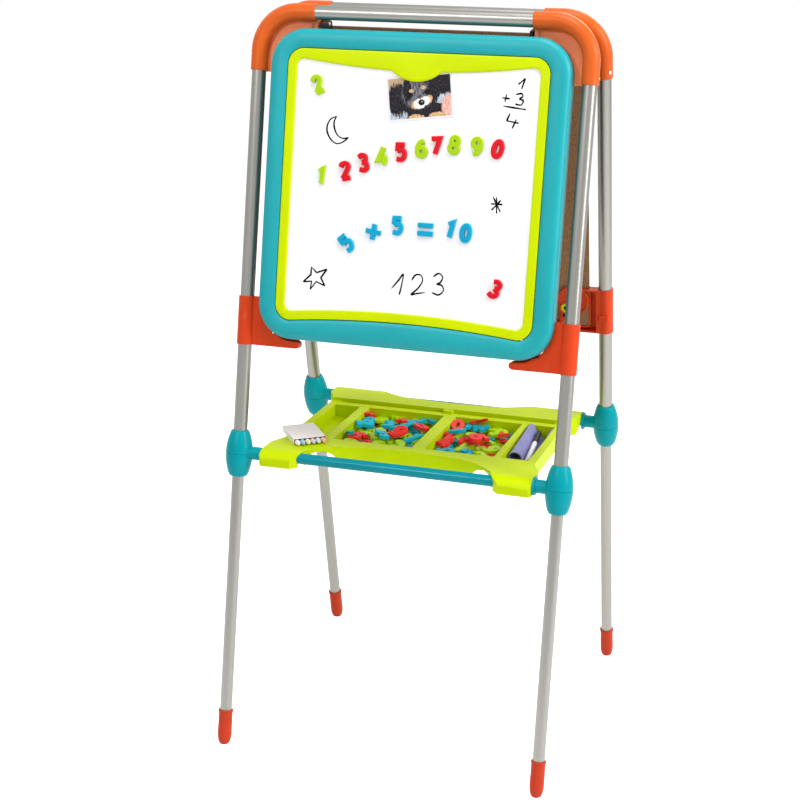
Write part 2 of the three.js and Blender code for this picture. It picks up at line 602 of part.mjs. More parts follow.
function tray() {
  const outline = trayPlan();
  const outer = plan(outline, TRAY_FOOT, LEDGE_TOP)
    .intersect(fin(trayProfile(0, TRAY_FOOT), -260, 260));
  const inner = plan(shrink(outline, TRAY_WALL), TRAY_FOOT - 5, LEDGE_TOP)
    .intersect(fin(trayProfile(TRAY_WALL, TRAY_FOOT - 5), -260, 260));
  const w = TRAY_WALL;
  const tub = block([-TUB.x - w, TUB.x + w], [TUB.y0 - w, TUB.y1 + w], [TRAY_FOOT, TRAY_TOP - 1]);
  const walls = [-TUB.x, ...DIVIDERS.flat(), TUB.x];
  const cells = [];
  for (let i = 0; i < walls.length; i += 2) {
    cells.push(block([walls[i], walls[i + 1]], [TUB.y0, TUB.y1],
      [TRAY_FOOT + TUB.floor, TRAY_TOP + 20]));
  }

  // ribs inside the corner blocks ride on the bars; the skirt is cut away where it crosses them
  const sides = [-1, 1];
  const ribs = [];
  const arches = [];
  for (const x of sides) {
    for (const y of sides) {
      for (const at of RIBS) {
        const [y0, y1] = [y * (BLOCK_OUT - w / 2), y * (TUB.y1 + 1)].sort((a, b) => a - b);
        ribs.push(block([x * at - 1.3, x * at + 1.3], [y0, y1], [TRAY_FOOT + 2, TRAY_TOP - 1]));
      }
      const opening = ARCH.map(([across, z]) => new THREE.Vector2(x * across, z));
      const geometry = new THREE.ExtrudeGeometry(new THREE.Shape(opening),
        { depth: 90, bevelEnabled: false });
      geometry.rotateX(Math.PI / 2).translate(0, y < 0 ? -112 : 208, 0);
      arches.push(solid(geometry));
    }
  }
  const frontBar = crossRod(BAR_R + GAP, -300, 300, -BAR_Z, -BAR_Y);
  const mouth = block([-300, 300], [-BAR_Y - BAR_R + 2, -BAR_Y + BAR_R - 2], [TRAY_FOOT - 9, BAR_Z]);
  // the way the rear bar leaves as the tray tilts up: inward and down from its seat
  const seat = arc(BAR_Y, BAR_Z, BAR_R + GAP, 0, Math.PI / 2 + Math.atan(EXIT), 10);
  const [exitY, exitZ] = seat.at(-1);
  const rearPath = fin([[BAR_Y + BAR_R + GAP, BAR_Z - 40], ...seat,
    [exitY - (exitZ - BAR_Z + 40) / EXIT, BAR_Z - 40]], -300, 300);
  const skin = cut(outer, inner, ...arches);
  const bed = block([-208, 208], [TUB.y1, LEDGE_FRONT + 3], [TRAY_TOP - 9, TRAY_TOP - 1]);
  const groove = block([-205, 205], [LEDGE_FRONT - 5.6, LEDGE_FRONT], [TRAY_TOP - 6.5, LEDGE_TOP + 1]);
  const body = cut(join(skin, tub, bed, join(...ribs).intersect(outer)),
    groove, frontBar, mouth, rearPath, ...cells);
  const lug = block([-5, 13], [LEDGE_FRONT - 6, LEDGE_FRONT + 1], [TRAY_TOP - 8, LEDGE_TOP - 0.8]);
  return piece('tray', join(body, lug), LIME);
}

// ---------------------------------------------------------------- things in the tray
function turnedAlong(profile, from, to) {
  const points = [...profile, profile[0]].map(([r, s]) => new THREE.Vector2(r, s));
  const geometry = new THREE.LatheGeometry(points, 16);
  const way = new THREE.Vector3(...to).sub(new THREE.Vector3(...from)).normalize();
  const turn = new THREE.Quaternion().setFromUnitVectors(new THREE.Vector3(0, 1, 0), way);
  geometry.applyQuaternion(turn).translate(...from);
  return solid(geometry);
}

function trayThings(group) {
  const floor = TRAY_FOOT + TUB.floor;
  const box = new THREE.BoxGeometry(54, 73, 10.6);
  box.rotateZ(0.66).translate(-196, -102, TRAY_TOP + GAP + 5.3);
  group.add(piece('chalk_box', solid(box), CARTON));

  const [from, to] = [[200, -64, floor + 9.5], [185.5, 80, floor + 17]];
  const pen = (name, profile, material) => piece(name, turnedAlong(profile, from, to), material);
  group.add(pen('marker_body', [[0, 0], [5.4, 0], [6.2, 2], [6.2, 88], [0, 88]], WHITE));
  group.add(pen('marker_cap', [[0, 88.3], [5.9, 88.3], [5.9, 141], [4.6, 144], [0, 144]], BLACK));

  // the cloth lies under the marker, rolled over on the left and standing up on the right
  const under = floor + GAP;
  const lying = block([163.3, 208.7], [-62, 88], [under, floor + 2.6]);
  const rolled = fin([[-62, under], [88, under], [80, BAR_Z + 15], [-50, BAR_Z + 5]], 163.3, 177.6);
  const standing = fin([[-62, under], [88, under], [80, BAR_Z + 11], [-34, BAR_Z - 7]], 206.4, 208.7);
  group.add(piece('felt_cloth', join(lying, rolled, standing), FELT));
}

// ---------------------------------------------------------------- the easel
const easel = new THREE.Group();
const frontFrame = leaningFrame('front');
whiteboardSide(frontFrame);
const rearFrame = leaningFrame('rear');
chalkboardSide(rearFrame);
easel.add(frontFrame, rearFrame, tray());
trayThings(easel);

export default easel;
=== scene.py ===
"""Kids' folding easel: moulded plastic, satin tubes, a whiteboard with magnets and drawings on it,
a chalkboard behind, and a tray of magnets, chalks, a pen and a felt cloth.

Lengths are written in millimetres and become metres in Form.build. A leaning frame's own
coordinates are (x, out, down): across, in front of the tubes' plane, and below the top rail.
"""
import math

import bmesh
import bpy
import numpy as np
from mathutils import Matrix, Vector


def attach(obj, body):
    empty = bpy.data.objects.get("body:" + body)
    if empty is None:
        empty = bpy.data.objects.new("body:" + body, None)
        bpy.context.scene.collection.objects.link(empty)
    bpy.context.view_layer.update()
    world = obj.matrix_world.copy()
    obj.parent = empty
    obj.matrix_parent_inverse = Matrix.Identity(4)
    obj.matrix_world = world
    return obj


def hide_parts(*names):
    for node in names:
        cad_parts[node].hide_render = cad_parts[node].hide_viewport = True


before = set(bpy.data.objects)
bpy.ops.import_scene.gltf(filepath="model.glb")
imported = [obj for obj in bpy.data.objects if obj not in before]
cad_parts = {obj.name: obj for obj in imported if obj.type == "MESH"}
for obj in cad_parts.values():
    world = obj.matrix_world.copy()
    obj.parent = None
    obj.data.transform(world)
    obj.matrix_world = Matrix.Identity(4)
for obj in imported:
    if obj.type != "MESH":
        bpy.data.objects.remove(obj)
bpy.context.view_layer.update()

# ---- dimensions, as in the CAD
RAIL_HEIGHT, RAIL_SPACING, FOOT_SPREAD, HALF_WIDTH = 1250, 70, 281, 285
TUBE_R, TUBE_BORE, LEG_R, LEG_BORE, LEG_TOP, LEG_END = 12, 10.8, 10.5, 9.3, 620, 1260
ELBOW_R, ELBOW_BEND, ELBOW_REACH, ELBOW_DROP, SOCKET = 14.3, 65, 98.5, 99, 33
WEB = (-12, -7.6)                  # the two faces of a corner's thin web, in `out`
BOARD_HALF, BOARD_TOP, BOARD_BOTTOM, CORNER_R, RIM = 257.5, 27.5, 546.5, 60, 32
BAR_DOWN, BAR_R, BAR_BORE, BAR_HALF = 751, 9.5, 8.3, 271.6
COLLAR_R, FLANGE_R, COLLAR_FACE, FLANGE_BACK, COLLAR_END = 11.5, 16, 241.5, 245.5, 271.8
HUB_TOP, HUB_SEAM, HUB_END, HUB_R = 712.5, 753, 793, 23.5
FOOT_TOP, HINGE_HEIGHT, GAP = 1212, 1228, 0.3
BUTTON, RING = (216.5, 518), (213, 532)          # x and down, on a lower bracket's inner face
SHEET = 17.5                       # the writing surface, out of the tubes' plane
SEAM = 1.2                         # the shadow gap between the surround and the window frame

LEAN = math.atan2(FOOT_SPREAD - RAIL_SPACING / 2, RAIL_HEIGHT)
SIN, COS = math.sin(LEAN), math.cos(LEAN)
BAR_Z = RAIL_HEIGHT - BAR_DOWN * COS
TRAY_TOP = BAR_Z + 12
TRAY_FLOOR = TRAY_TOP - 23.5
TURN = {"front": 1, "rear": -1}

AMBIENT = 0.36                     # strength of the world's even light
LAMP_TARGET = Vector((0, 0, 0.7))  # in metres
# each lamp's azimuth and elevation in degrees, distance in metres, power and size
LAMPS = (("key", -20, 35, 3.2, 25, 0.6), ("left", -88, 42, 3.2, 12, 1.6),
         ("right", 82, 30, 3.2, 62, 1.2), ("back", 168, 40, 3.2, 30, 1.8),
         ("strip", 76, 8, 3.2, 16, 0.6), ("top", 35, 76, 3.0, 50, 1.3))


# ---- camera
def linked(name, data):
    """A new object in the scene."""
    obj = bpy.data.objects.new(name, data)
    bpy.context.scene.collection.objects.link(obj)
    return obj


def aim(obj, place, back, roll=0.0):
    """Puts obj at place, looking along -back, and turns it about that line by roll."""
    forward = -Vector(back).normalized()
    level = forward.cross(Vector((0, 0, 1))).normalized()
    upright = level.cross(forward)
    right = level * math.cos(roll) + upright * math.sin(roll)
    up = right.cross(forward)
    turn = Matrix((right, up, -forward)).transposed().to_4x4()
    obj.matrix_world = Matrix.Translation(place) @ turn


def direction(azimuth, elevation):
    """The unit vector towards a viewer at that azimuth and elevation, in degrees."""
    a, e = math.radians(azimuth), math.radians(elevation)
    return Vector((math.sin(a) * math.cos(e), -math.cos(a) * math.cos(e), math.sin(e)))


lens = bpy.data.cameras.new("camera")
lens.sensor_width, lens.lens = 36, 75.32
lens.shift_x, lens.shift_y = -0.05, 0.0025
lens.clip_start, lens.clip_end = 0.05, 50
camera = linked("camera", lens)
bpy.context.scene.camera = camera
aim(camera, (0.86612, -2.69008, 1.48066), direction(17.41, 17.70), math.radians(0.48))


# ---- shader arithmetic
def both_ways(operation):
    """An operator and its reflected form."""
    return (lambda self, other: self.math(operation, self, other),
            lambda self, other: self.math(operation, other, self))


class Signal:
    """A node's output that Python arithmetic works on. Each operator adds one Math node."""
    __add__, __radd__ = both_ways("ADD")
    __sub__, __rsub__ = both_ways("SUBTRACT")
    __mul__, __rmul__ = both_ways("MULTIPLY")
    __truediv__, __rtruediv__ = both_ways("DIVIDE")
    __pow__, __rpow__ = both_ways("POWER")

    def __init__(self, tree, socket):
        self.tree, self.socket = tree, socket

    def math(self, operation, *values):
        return self.tree.node("ShaderNodeMath", {"operation": operation}, values)

    def __abs__(self):
        return self.math("ABSOLUTE", self)

    def high(self, other):
        return self.math("MAXIMUM", self, other)

    def ramp(self, start, end):
        """0 below start and 1 above end, smoothly between; reversed when start is above end."""
        reverse = start > end
        values = {"Value": self, "From Min": min(start, end), "From Max": max(start, end),
                  "To Min": float(reverse), "To Max": float(not reverse)}
        settings = {"interpolation_type": "SMOOTHSTEP"}
        return self.tree.node("ShaderNodeMapRange", settings, values)


class Tree:
    """A node tree that expressions on Signals add to."""

    def __init__(self, node_tree):
        self.nodes, self.links = node_tree.nodes, node_tree.links

    def node(self, kind, settings=None, values=(), out=0):
        """Adds a node, sets its settings, then gives its sockets, by order or name, a value or
        a link, and returns the output."""
        node = self.nodes.new(kind)
        for key, value in (settings or {}).items():
            setattr(node, key, value)
        pairs = values.items() if isinstance(values, dict) else enumerate(values)
        for key, value in pairs:
            self.put(node.inputs[key], value)
        return Signal(self, node.outputs[out])

    def put(self, socket, value):
        """Gives a socket a link or a value. A colour gets its alpha here."""
        if isinstance(value, Signal):
            self.links.new(value.socket, socket)
        elif hasattr(value, "__len__") and len(value) == 3 and len(socket.default_value) == 4:
            socket.default_value = (*value, 1)
        else:
            socket.default_value = value

    def seen(self):
        """1 for rays from the camera or off a mirror-like surface, and 0 for all others."""
        camera, glossy = (self.node("ShaderNodeLightPath", out=f"Is {kind} Ray")
                          for kind in ("Camera", "Glossy"))
        return camera.high(glossy)


class Paint(Tree):
    """One material, built from nodes around a Principled shader."""

    def __init__(self, name, **constants):
        self.material = bpy.data.materials.new(name)
        self.material.use_nodes = True
        super().__init__(self.material.node_tree)
        self.shader = self.nodes["Principled BSDF"]
        self.set(constants)

    def set(self, sockets):
        for name, value in sockets.items():
            self.put(self.shader.inputs[name.replace("_", " ")], value)

    def own(self):
        """The piece's own unleaned coordinates, in metres."""
        return self.node("ShaderNodeAttribute", {"attribute_name": "local"}, out="Vector")

    def noise(self, scale, detail=2.0, roughness=0.5, stretch=None, vector=None):
        """Smooth noise with a mean near a half. scale is in features for each metre, and
        stretch multiplies the coordinates that it reads."""
        vector = vector or self.node("ShaderNodeTexCoord", out="Object")
        if stretch:
            vector = self.node("ShaderNodeMapping", {"vector_type": "POINT"},
                               {"Vector": vector, "Scale": stretch})
        values = {"Vector": vector, "Scale": scale, "Detail": detail, "Roughness": roughness}
        return self.node("ShaderNodeTexNoise", {}, values)

    def mix(self, share, a, b):
        return self.node("ShaderNodeMix", {"data_type": "RGBA"}, {0: share, 6: a, 7: b}, out=2)

    def finish(self, base, roughness, height=None, depth=0.0, **sockets):
        """The material, with its surface raised by height times depth, in metres."""
        sockets.update(Base_Color=base, Roughness=roughness)
        if height:
            values = {"Height": height, "Distance": depth}
            sockets["Normal"] = self.node("ShaderNodeBump", {}, values)
        self.set(sockets)
        return self.material


def srgb(red, green, blue):
    """A screen colour from 0 to 255, as the linear colour that a shader takes."""
    c = np.array([red, green, blue]) / 255
    return tuple(np.where(c <= 0.04045, c / 12.92, ((c + 0.055) / 1.055) ** 2.4).tolist())


def tint(colour, k):
    return tuple(min(1.0, c * k) for c in colour)


# ---- finishes
def moulded(name, colour, roughness, gleam=0.25, grain=1.0, **more):
    """Moulded plastic: a fine satin grain, cloudy gloss, faint flow tones and a few handling
    scuffs that lighten it."""
    p = Paint(name, Specular_IOR_Level=gleam, **more)
    cloud = p.noise(9, 3)
    mottle = p.noise(160, 4, 0.6)
    scuff = p.noise(55, 5, 0.7, (1, 1, 0.25)).ramp(0.66, 0.74) * p.noise(4, 2).ramp(0.5, 0.7)
    base = p.mix(cloud.ramp(0.3, 0.7), tint(colour, 0.95), tint(colour, 1.04))
    base = p.mix(mottle.ramp(0.35, 0.75) * 0.25, base, tint(colour, 0.9))
    base = p.mix(scuff * 0.22, base, tuple(0.6 * c + 0.3 for c in colour))
    gloss = roughness + 0.1 * (cloud - 0.5) + 0.08 * (mottle - 0.5) + 0.12 * scuff
    fine = p.noise(2600, 2, 0.6) * 0.7 + p.noise(900, 1) * 0.3
    return p.finish(base, gloss, fine, 0.00003 * grain)


def satin_metal(name, colour, roughness):
    """Satin silver tube: hairline streaks along it, soft cloudy gloss and small dull specks."""
    p = Paint(name)
    streak = p.noise(900, 3, 0.6, (1, 1, 0.02), p.own())
    cloud = p.noise(14, 3)
    speck = p.noise(700, 2).ramp(0.7, 0.78)
    base = p.mix(streak.ramp(0.3, 0.7), tint(colour, 0.97), tint(colour, 1.02))
    base = p.mix(speck * 0.2, base, tint(colour, 0.8))
    gloss = roughness + 0.05 * (streak - 0.5) + 0.1 * (cloud - 0.5) + 0.1 * speck
    return p.finish(base, gloss, streak, 0.000006, Metallic=0.86 + 0.1 * cloud)


def bright_steel(name):
    """Turned steel of pins and screws, with fine rings of tone and a little tarnish."""
    p = Paint(name)
    wear = p.noise(600, 4, 0.6)
    base = p.mix(wear.ramp(0.35, 0.7), srgb(172, 172, 170), srgb(226, 226, 224))
    return p.finish(base, 0.2 + 0.25 * wear, wear, 0.00002, Metallic=0.9 + 0.1 * wear)


def enamelled_sheet(name):
    """Whiteboard enamel: glossy white, with faint wiped haze and a very slight ripple."""
    p = Paint(name, Coat_Roughness=0.04)
    haze = p.noise(7, 5, 0.65, (1, 1, 2.4))
    wipe = p.noise(22, 4, 0.6, (0.35, 1, 2.2)).ramp(0.5, 0.72)
    base = p.mix(haze.ramp(0.35, 0.75) * 0.6 + wipe * 0.25,
                 srgb(252, 252, 253), srgb(243, 244, 248))
    return p.finish(base, 0.16 + 0.1 * wipe + 0.06 * haze, haze, 0.00012,
                    Coat_Weight=0.5 - 0.2 * wipe)


def chalkboard(name):
    """Matt slate paint: a fine tooth, with wiped chalk dust in broad cloudy strokes."""
    p = Paint(name)
    dust = p.noise(5, 6, 0.62, (0.8, 1, 1.6))
    sweep = p.noise(16, 4, 0.6, (0.25, 1, 1.2)).ramp(0.45, 0.75)
    tooth = p.noise(1500, 3, 0.7)
    base = p.mix(dust.ramp(0.35, 0.8) * 0.35 + sweep * 0.12, srgb(40, 45, 44),
                 srgb(112, 118, 116))
    base = p.mix(tooth.ramp(0.55, 0.8) * 0.25, base, srgb(86, 92, 90))
    return p.finish(base, 0.8 + 0.15 * dust, tooth, 0.00006)


def hardboard(name):
    """Pressed wood fibre: short tangled fibres in warm browns, with darker flecks."""
    p = Paint(name)
    fibre = p.noise(420, 5, 0.7, (1, 1, 0.6))
    base = p.mix(fibre.ramp(0.3, 0.7), srgb(122, 84, 52), srgb(165, 124, 86))
    base = p.mix(p.noise(130, 4, 0.6).ramp(0.6, 0.78) * 0.45, base, srgb(88, 58, 36))
    base = p.mix(p.noise(12, 3).ramp(0.4, 0.8) * 0.2, base, srgb(150, 112, 80))
    return p.finish(base, 0.7 + 0.2 * fibre, fibre, 0.0002)


def paper(name, colour):
    """Coated paper or card: soft fibre mottle and slightly rubbed tones."""
    p = Paint(name)
    fibre = p.noise(900, 4, 0.7)
    rub = p.noise(60, 4, 0.6).ramp(0.5, 0.8)
    base = p.mix(fibre * 0.3 + rub * 0.1, colour, tint(colour, 0.86))
    return p.finish(base, 0.5 + 0.2 * fibre, fibre, 0.00005)


def chalk(name, colour):
    """Pressed chalk: dry and powdery, with pores."""
    p = Paint(name)
    powder = p.noise(1400, 4, 0.7)
    base = p.mix(powder.ramp(0.4, 0.75) * 0.5, colour, tuple(0.5 * c + 0.45 for c in colour))
    return p.finish(base, 0.85 + 0.1 * powder, powder, 0.00015)


def felt(name, colour):
    """Needled felt: a nap of crossing fibres over a soft mottle, lighter where it is brushed."""
    p = Paint(name, Sheen_Weight=0.5, Sheen_Roughness=0.5)
    nap = p.noise(1100, 5, 0.8) * 0.6 + p.noise(2600, 3, 0.8) * 0.4
    base = p.mix(nap.ramp(0.35, 0.7), tint(colour, 0.72), tint(colour, 1.2))
    base = p.mix(p.noise(45, 4, 0.6).ramp(0.45, 0.75) * 0.35, base, tint(colour, 1.45))
    return p.finish(base, 0.9 + 0.08 * nap, nap, 0.0004)


def ink(name):
    """Dried marker ink, a little thinner in places, so the white shows through slightly."""
    p = Paint(name, Specular_IOR_Level=0.05)
    thin = p.noise(420, 3, 0.6).ramp(0.55, 0.75)
    base = p.mix(thin * 0.25, srgb(12, 10, 16), srgb(60, 58, 70))
    return p.finish(base, 0.4 + 0.2 * thin)


def snapshot(name, width, height):
    """A printed picture in a white border: a long-haired black and tan puppy lies on a pale
    blanket. Each part is a soft oval in the picture's own coordinates, from 0 to 1 across and
    down, and its edge is ragged like hair."""
    p = Paint(name, Specular_IOR_Level=0.1)
    across = p.node("ShaderNodeSeparateXYZ", {}, [p.own()]) / width + 0.5
    down = 0.5 - p.node("ShaderNodeSeparateXYZ", {}, [p.own()], out=1) / height
    hair = p.noise(330, 4, 0.7, (1, 0.35, 1), p.own())
    strand = p.noise(900, 3, 0.6, (1, 0.3, 1), p.own())
    fur = p.mix(strand.ramp(0.42, 0.72), srgb(14, 12, 16), srgb(64, 60, 68))
    tan = p.mix(strand.ramp(0.4, 0.7), srgb(196, 150, 92), srgb(236, 208, 164))
    grey = p.mix(hair.ramp(0.35, 0.65), srgb(44, 42, 50), srgb(132, 128, 138))
    white = p.mix(hair.ramp(0.4, 0.8), srgb(250, 248, 246), srgb(206, 200, 200))
    cloth = p.mix(hair.ramp(0.3, 0.7), srgb(150, 168, 186), srgb(206, 212, 218))
    pink = p.mix(hair.ramp(0.3, 0.7), srgb(212, 142, 136), srgb(242, 206, 186))
    wall, eye = srgb(186, 160, 128), srgb(16, 12, 14)
    nose, shine = srgb(22, 18, 22), srgb(150, 150, 156)
    scene = fur
    # each oval's middle, half width, half height, how ragged it is, and its colour
    for x, y, wide, high, ragged, colour in (
            (0.1, 0.05, 0.3, 0.3, 0.8, wall), (0.06, 0.93, 0.22, 0.22, 1.0, cloth),
            (0.86, 0.55, 0.16, 0.14, 1.0, cloth), (1.0, 0.78, 0.16, 0.3, 1.0, pink),
            (0.14, 0.52, 0.17, 0.4, 2.2, fur), (0.8, 0.2, 0.22, 0.3, 2.2, fur),
            (0.42, 1.0, 0.13, 0.09, 2.2, tan), (0.76, 0.97, 0.13, 0.08, 2.2, tan),
            (0.47, 0.42, 0.27, 0.36, 2.2, grey), (0.3, 0.3, 0.07, 0.3, 2.2, fur),
            (0.72, 0.36, 0.08, 0.32, 2.2, fur), (0.37, 0.33, 0.04, 0.04, 1.2, tan),
            (0.56, 0.27, 0.04, 0.045, 1.2, tan), (0.34, 0.44, 0.045, 0.06, 0.2, eye),
            (0.62, 0.39, 0.045, 0.06, 0.2, eye), (0.42, 0.68, 0.07, 0.1, 2.2, tan),
            (0.65, 0.56, 0.05, 0.09, 2.2, tan), (0.49, 0.66, 0.1, 0.12, 1.6, white),
            (0.58, 0.6, 0.08, 0.11, 1.6, white), (0.52, 0.63, 0.052, 0.075, 0.15, nose),
            (0.53, 0.615, 0.016, 0.02, 0.0, shine)):
        far = ((across - x) / wide) ** 2 + ((down - y) / high) ** 2
        scene = p.mix((far + ragged * (hair - 0.5)).ramp(1.2, 0.8), scene, colour)
    edge = abs(across - 0.5).high(abs(down - 0.5))
    base = p.mix(edge.ramp(0.497, 0.503), scene, srgb(226, 225, 232))
    return p.finish(base, 0.3 + 0.1 * hair)


def magnet_colours(kind, gleam, **colours):
    return {word: moulded(f"{word} {kind} plastic", srgb(*colour), 0.34, gleam, 0.6)
            for word, colour in colours.items()}


TEAL = moulded("teal plastic", srgb(0, 150, 160), 0.3, 0.1)
# Painted sheen: the surround's teal is lighter than the other teal parts, standing in for the sheen of
# the lamps on it.
TEAL_RIM_SHEEN = moulded("teal surround plastic lightened as painted sheen", srgb(20, 158, 166), 0.4, 0.3)
TEAL_BAR = moulded("teal lacquered bar", srgb(0, 136, 148), 0.12, 0.12, 0.3)
LIME = moulded("lime plastic", srgb(200, 221, 0), 0.34, 0.08)
LIME_TRAY = moulded("lime tray plastic", srgb(194, 217, 0), 0.36, 0.07)
# Painted shade: a darker lime for the ejector marks, standing in for the shade in their dimples.
DIMPLE_SHADE_PAINT = moulded("lime plastic darkened as painted dimple shade", srgb(150, 168, 0), 0.4)
ORANGE = moulded("orange plastic", srgb(210, 66, 28), 0.34, 0.12)
# Painted shade: the feet's orange is darker than the brackets', for the dimmer light near the floor.
BOOT_PAINTED_SHADE = moulded("orange foot plastic darkened as painted shade", srgb(192, 60, 32), 0.42, 0.12)
# Painted light: the elbows' orange is yellower and lighter than the brackets', standing in for the
# strong light at the top.
ELBOW_PAINTED_LIGHT = moulded("orange elbow plastic shifted as painted light", srgb(208, 90, 24), 0.34, 0.2)
# Painted light: the webs' orange is much lighter than the other orange parts, standing in for light
# where the board shades them. The subsurface scattering through the thin plate is real.
WEB_PAINTED_LIGHT = moulded("orange web plastic painted lighter", srgb(255, 150, 104), 0.4, 0.1, Subsurface_Weight=0.7,
               Subsurface_Radius=(1, 0.4, 0.2), Subsurface_Scale=0.006)
BLACK = moulded("black plastic", srgb(24, 21, 22), 0.38, 0.12)
WHITE = moulded("white plastic", srgb(232, 232, 236), 0.3, 0.4, 0.6)
STEEL = satin_metal("satin silver tube", srgb(147, 145, 140), 0.34)
PIN = bright_steel("bright steel")
ENAMEL = enamelled_sheet("white enamel")
SLATE = chalkboard("slate paint")
BOARD = hardboard("hardboard")
CARTON = paper("white carton", srgb(242, 237, 234))
FELT = felt("blue felt", srgb(122, 124, 190))
INK = ink("marker ink")
PICTURE = snapshot("picture card", 0.106, 0.066)
CHALKS = [chalk(f"{word} chalk", srgb(*colour)) for word, colour in (
    ("white", (240, 230, 230)), ("blue", (140, 190, 216)), ("yellow", (240, 228, 178)),
    ("violet", (214, 190, 212)), ("green", (206, 230, 210)), ("salmon", (246, 172, 142)))]
MAGNETS = magnet_colours("magnet", 0.1, red=(212, 22, 36), green=(166, 204, 16),
                         blue=(16, 160, 200))
# Painted light: lighter, warmer copies of the magnet colours for the figures in the tray's dim wells.
TRAY_MAGNETS_PAINTED_LIGHT = magnet_colours("painted-light tray magnet", 0.14, red=(230, 50, 42), green=(176, 218, 14),
                       blue=(10, 172, 196))


# ---- forms
def carried(start, *axes):
    """Takes points (a, b, c) to start + a, b and c times the three axes."""
    return lambda points: np.asarray(points, float) @ np.array(axes, float) + start


def leaning(end, side=1):
    """Takes a leaning frame's (x, out, down) to the row frame: the plane turns by the lean about
    the top rail, and the rear frame is the front one turned half round. side mirrors x."""
    turn = TURN[end]
    return carried((0, -turn * RAIL_SPACING / 2, RAIL_HEIGHT), (turn * side, 0, 0),
                   (0, -turn * COS, SIN), (0, -turn * SIN, -COS))


class Form:
    """The surfaces of one piece, which rides on a body. `place` takes the piece's own
    coordinates to the object's."""

    def __init__(self, body, place=np.copy):
        self.body, self.place = body, place
        self.points, self.own, self.faces, self.count = [], [], [], 0

    def grid(self, points, wrap=(False, False), caps=False):
        """Adds a rows x cols x 3 array of points as quads. wrap joins the last row or column to
        the first. caps closes the first and last rows with one polygon each. A closed surface
        is turned so that its faces point out."""
        points = np.asarray(points, float)
        rows, cols = points.shape[:2]
        i = np.arange(rows if wrap[0] else rows - 1)[:, None]
        j = np.arange(cols if wrap[1] else cols - 1)[None, :]
        corner = [(i % rows) * cols + j, (i % rows) * cols + (j + 1) % cols,
                  ((i + 1) % rows) * cols + (j + 1) % cols, ((i + 1) % rows) * cols + j]
        quads = np.stack(np.broadcast_arrays(*corner), -1).reshape(-1, 4)
        world = self.place(points).reshape(-1, 3)
        faces = quads.tolist()
        ends = [np.arange(cols)[::-1], np.arange(cols) + (rows - 1) * cols] if caps else []
        faces += [end.tolist() for end in ends]
        a, b, c, d = (world[quads[:, k]] for k in range(4))
        volume = (np.cross(b - a, c - a) * a).sum() + (np.cross(c - a, d - a) * a).sum()
        for end in ends:
            ring = world[end]
            volume += (np.cross(ring[1:-1] - ring[0], ring[2:] - ring[0]) * ring[0]).sum()
        if volume < 0:
            faces = [face[::-1] for face in faces]
        self.faces += [[k + self.count for k in face] for face in faces]
        self.points.append(world)
        self.own.append(points.reshape(-1, 3))
        self.count += rows * cols
        return self

    def ring(self, points):
        """Adds a surface that is joined to itself both ways."""
        return self.grid(points, (True, True))

    def block(self, points):
        """Adds a surface whose rows are loops, closed at its first and last rows."""
        return self.grid(points, (False, True), True)

    def build(self, name, material, slot=None, node=None, sharp=35):
        """The piece, in metres, smooth except along edges sharper than `sharp`."""
        mesh = bpy.data.meshes.new(name)
        mesh.from_pydata((np.vstack(self.points) / 1000).tolist(), [], self.faces)
        own = mesh.attributes.new("local", "FLOAT_VECTOR", "POINT")
        own.data.foreach_set("vector", (np.vstack(self.own) / 1000).astype(np.float32).ravel())
        return settled(smooth(name, mesh, material, sharp), self.body, node)


def front_form():
    return Form("front_frame", leaning("front"))


class Corner:
    """One of the easel's four corners, with the names, body and place of its pieces."""

    def __init__(self, end, word):
        self.end, self.word, self.body = end, word, f"{end}_frame"
        self.place = leaning(end, TURN[end] * {"left": -1, "right": 1}[word])

    def name(self, part):
        return f"{self.end}_{part}_{self.word}"

    def form(self, body=None):
        return Form(body or self.body, self.place)


CORNERS = [Corner(end, word) for end in TURN for word in ("left", "right")]


def repaint(mesh, material):
    mesh.materials.clear()
    mesh.materials.append(material)


def smooth(name, mesh, material, sharp):
    repaint(mesh, material)
    mesh.shade_smooth()
    mesh.set_sharp_from_angle(angle=math.radians(sharp))
    obj = linked(name, mesh)
    obj.modifiers.new("weighted normals", "WEIGHTED_NORMAL").keep_sharp = True
    return obj


def settled(obj, body, node):
    """The piece, attached to its body if it has one, with the CAD node that it stands for hidden."""
    if body:
        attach(obj, body)
    if node:
        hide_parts(node)
    return obj


def softened(node, name, material, radius, body, move=None):
    """A CAD node's own shape with its edges rounded: a merged copy, bevelled where faces meet
    at more than 30 degrees. `move` takes its points in mm to where they belong."""
    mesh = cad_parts[node].data.copy()
    work = bmesh.new()
    work.from_mesh(mesh)
    bmesh.ops.remove_doubles(work, verts=work.verts, dist=2e-6)
    if move:
        points = move(np.array([v.co for v in work.verts]) * 1000) / 1000
        for vert, point in zip(work.verts, points):
            vert.co = point
    bmesh.ops.dissolve_limit(work, angle_limit=math.radians(0.6), verts=work.verts,
                             edges=work.edges)
    work.to_mesh(mesh)
    work.free()
    obj = smooth(name, mesh, material, 30)
    bevel = obj.modifiers.new("soft edges", "BEVEL")
    bevel.width, bevel.segments = radius / 1000, 2
    bevel.limit_method, bevel.angle_limit = "ANGLE", math.radians(30)
    obj.modifiers.move(1, 0)
    settled(obj, body, node)


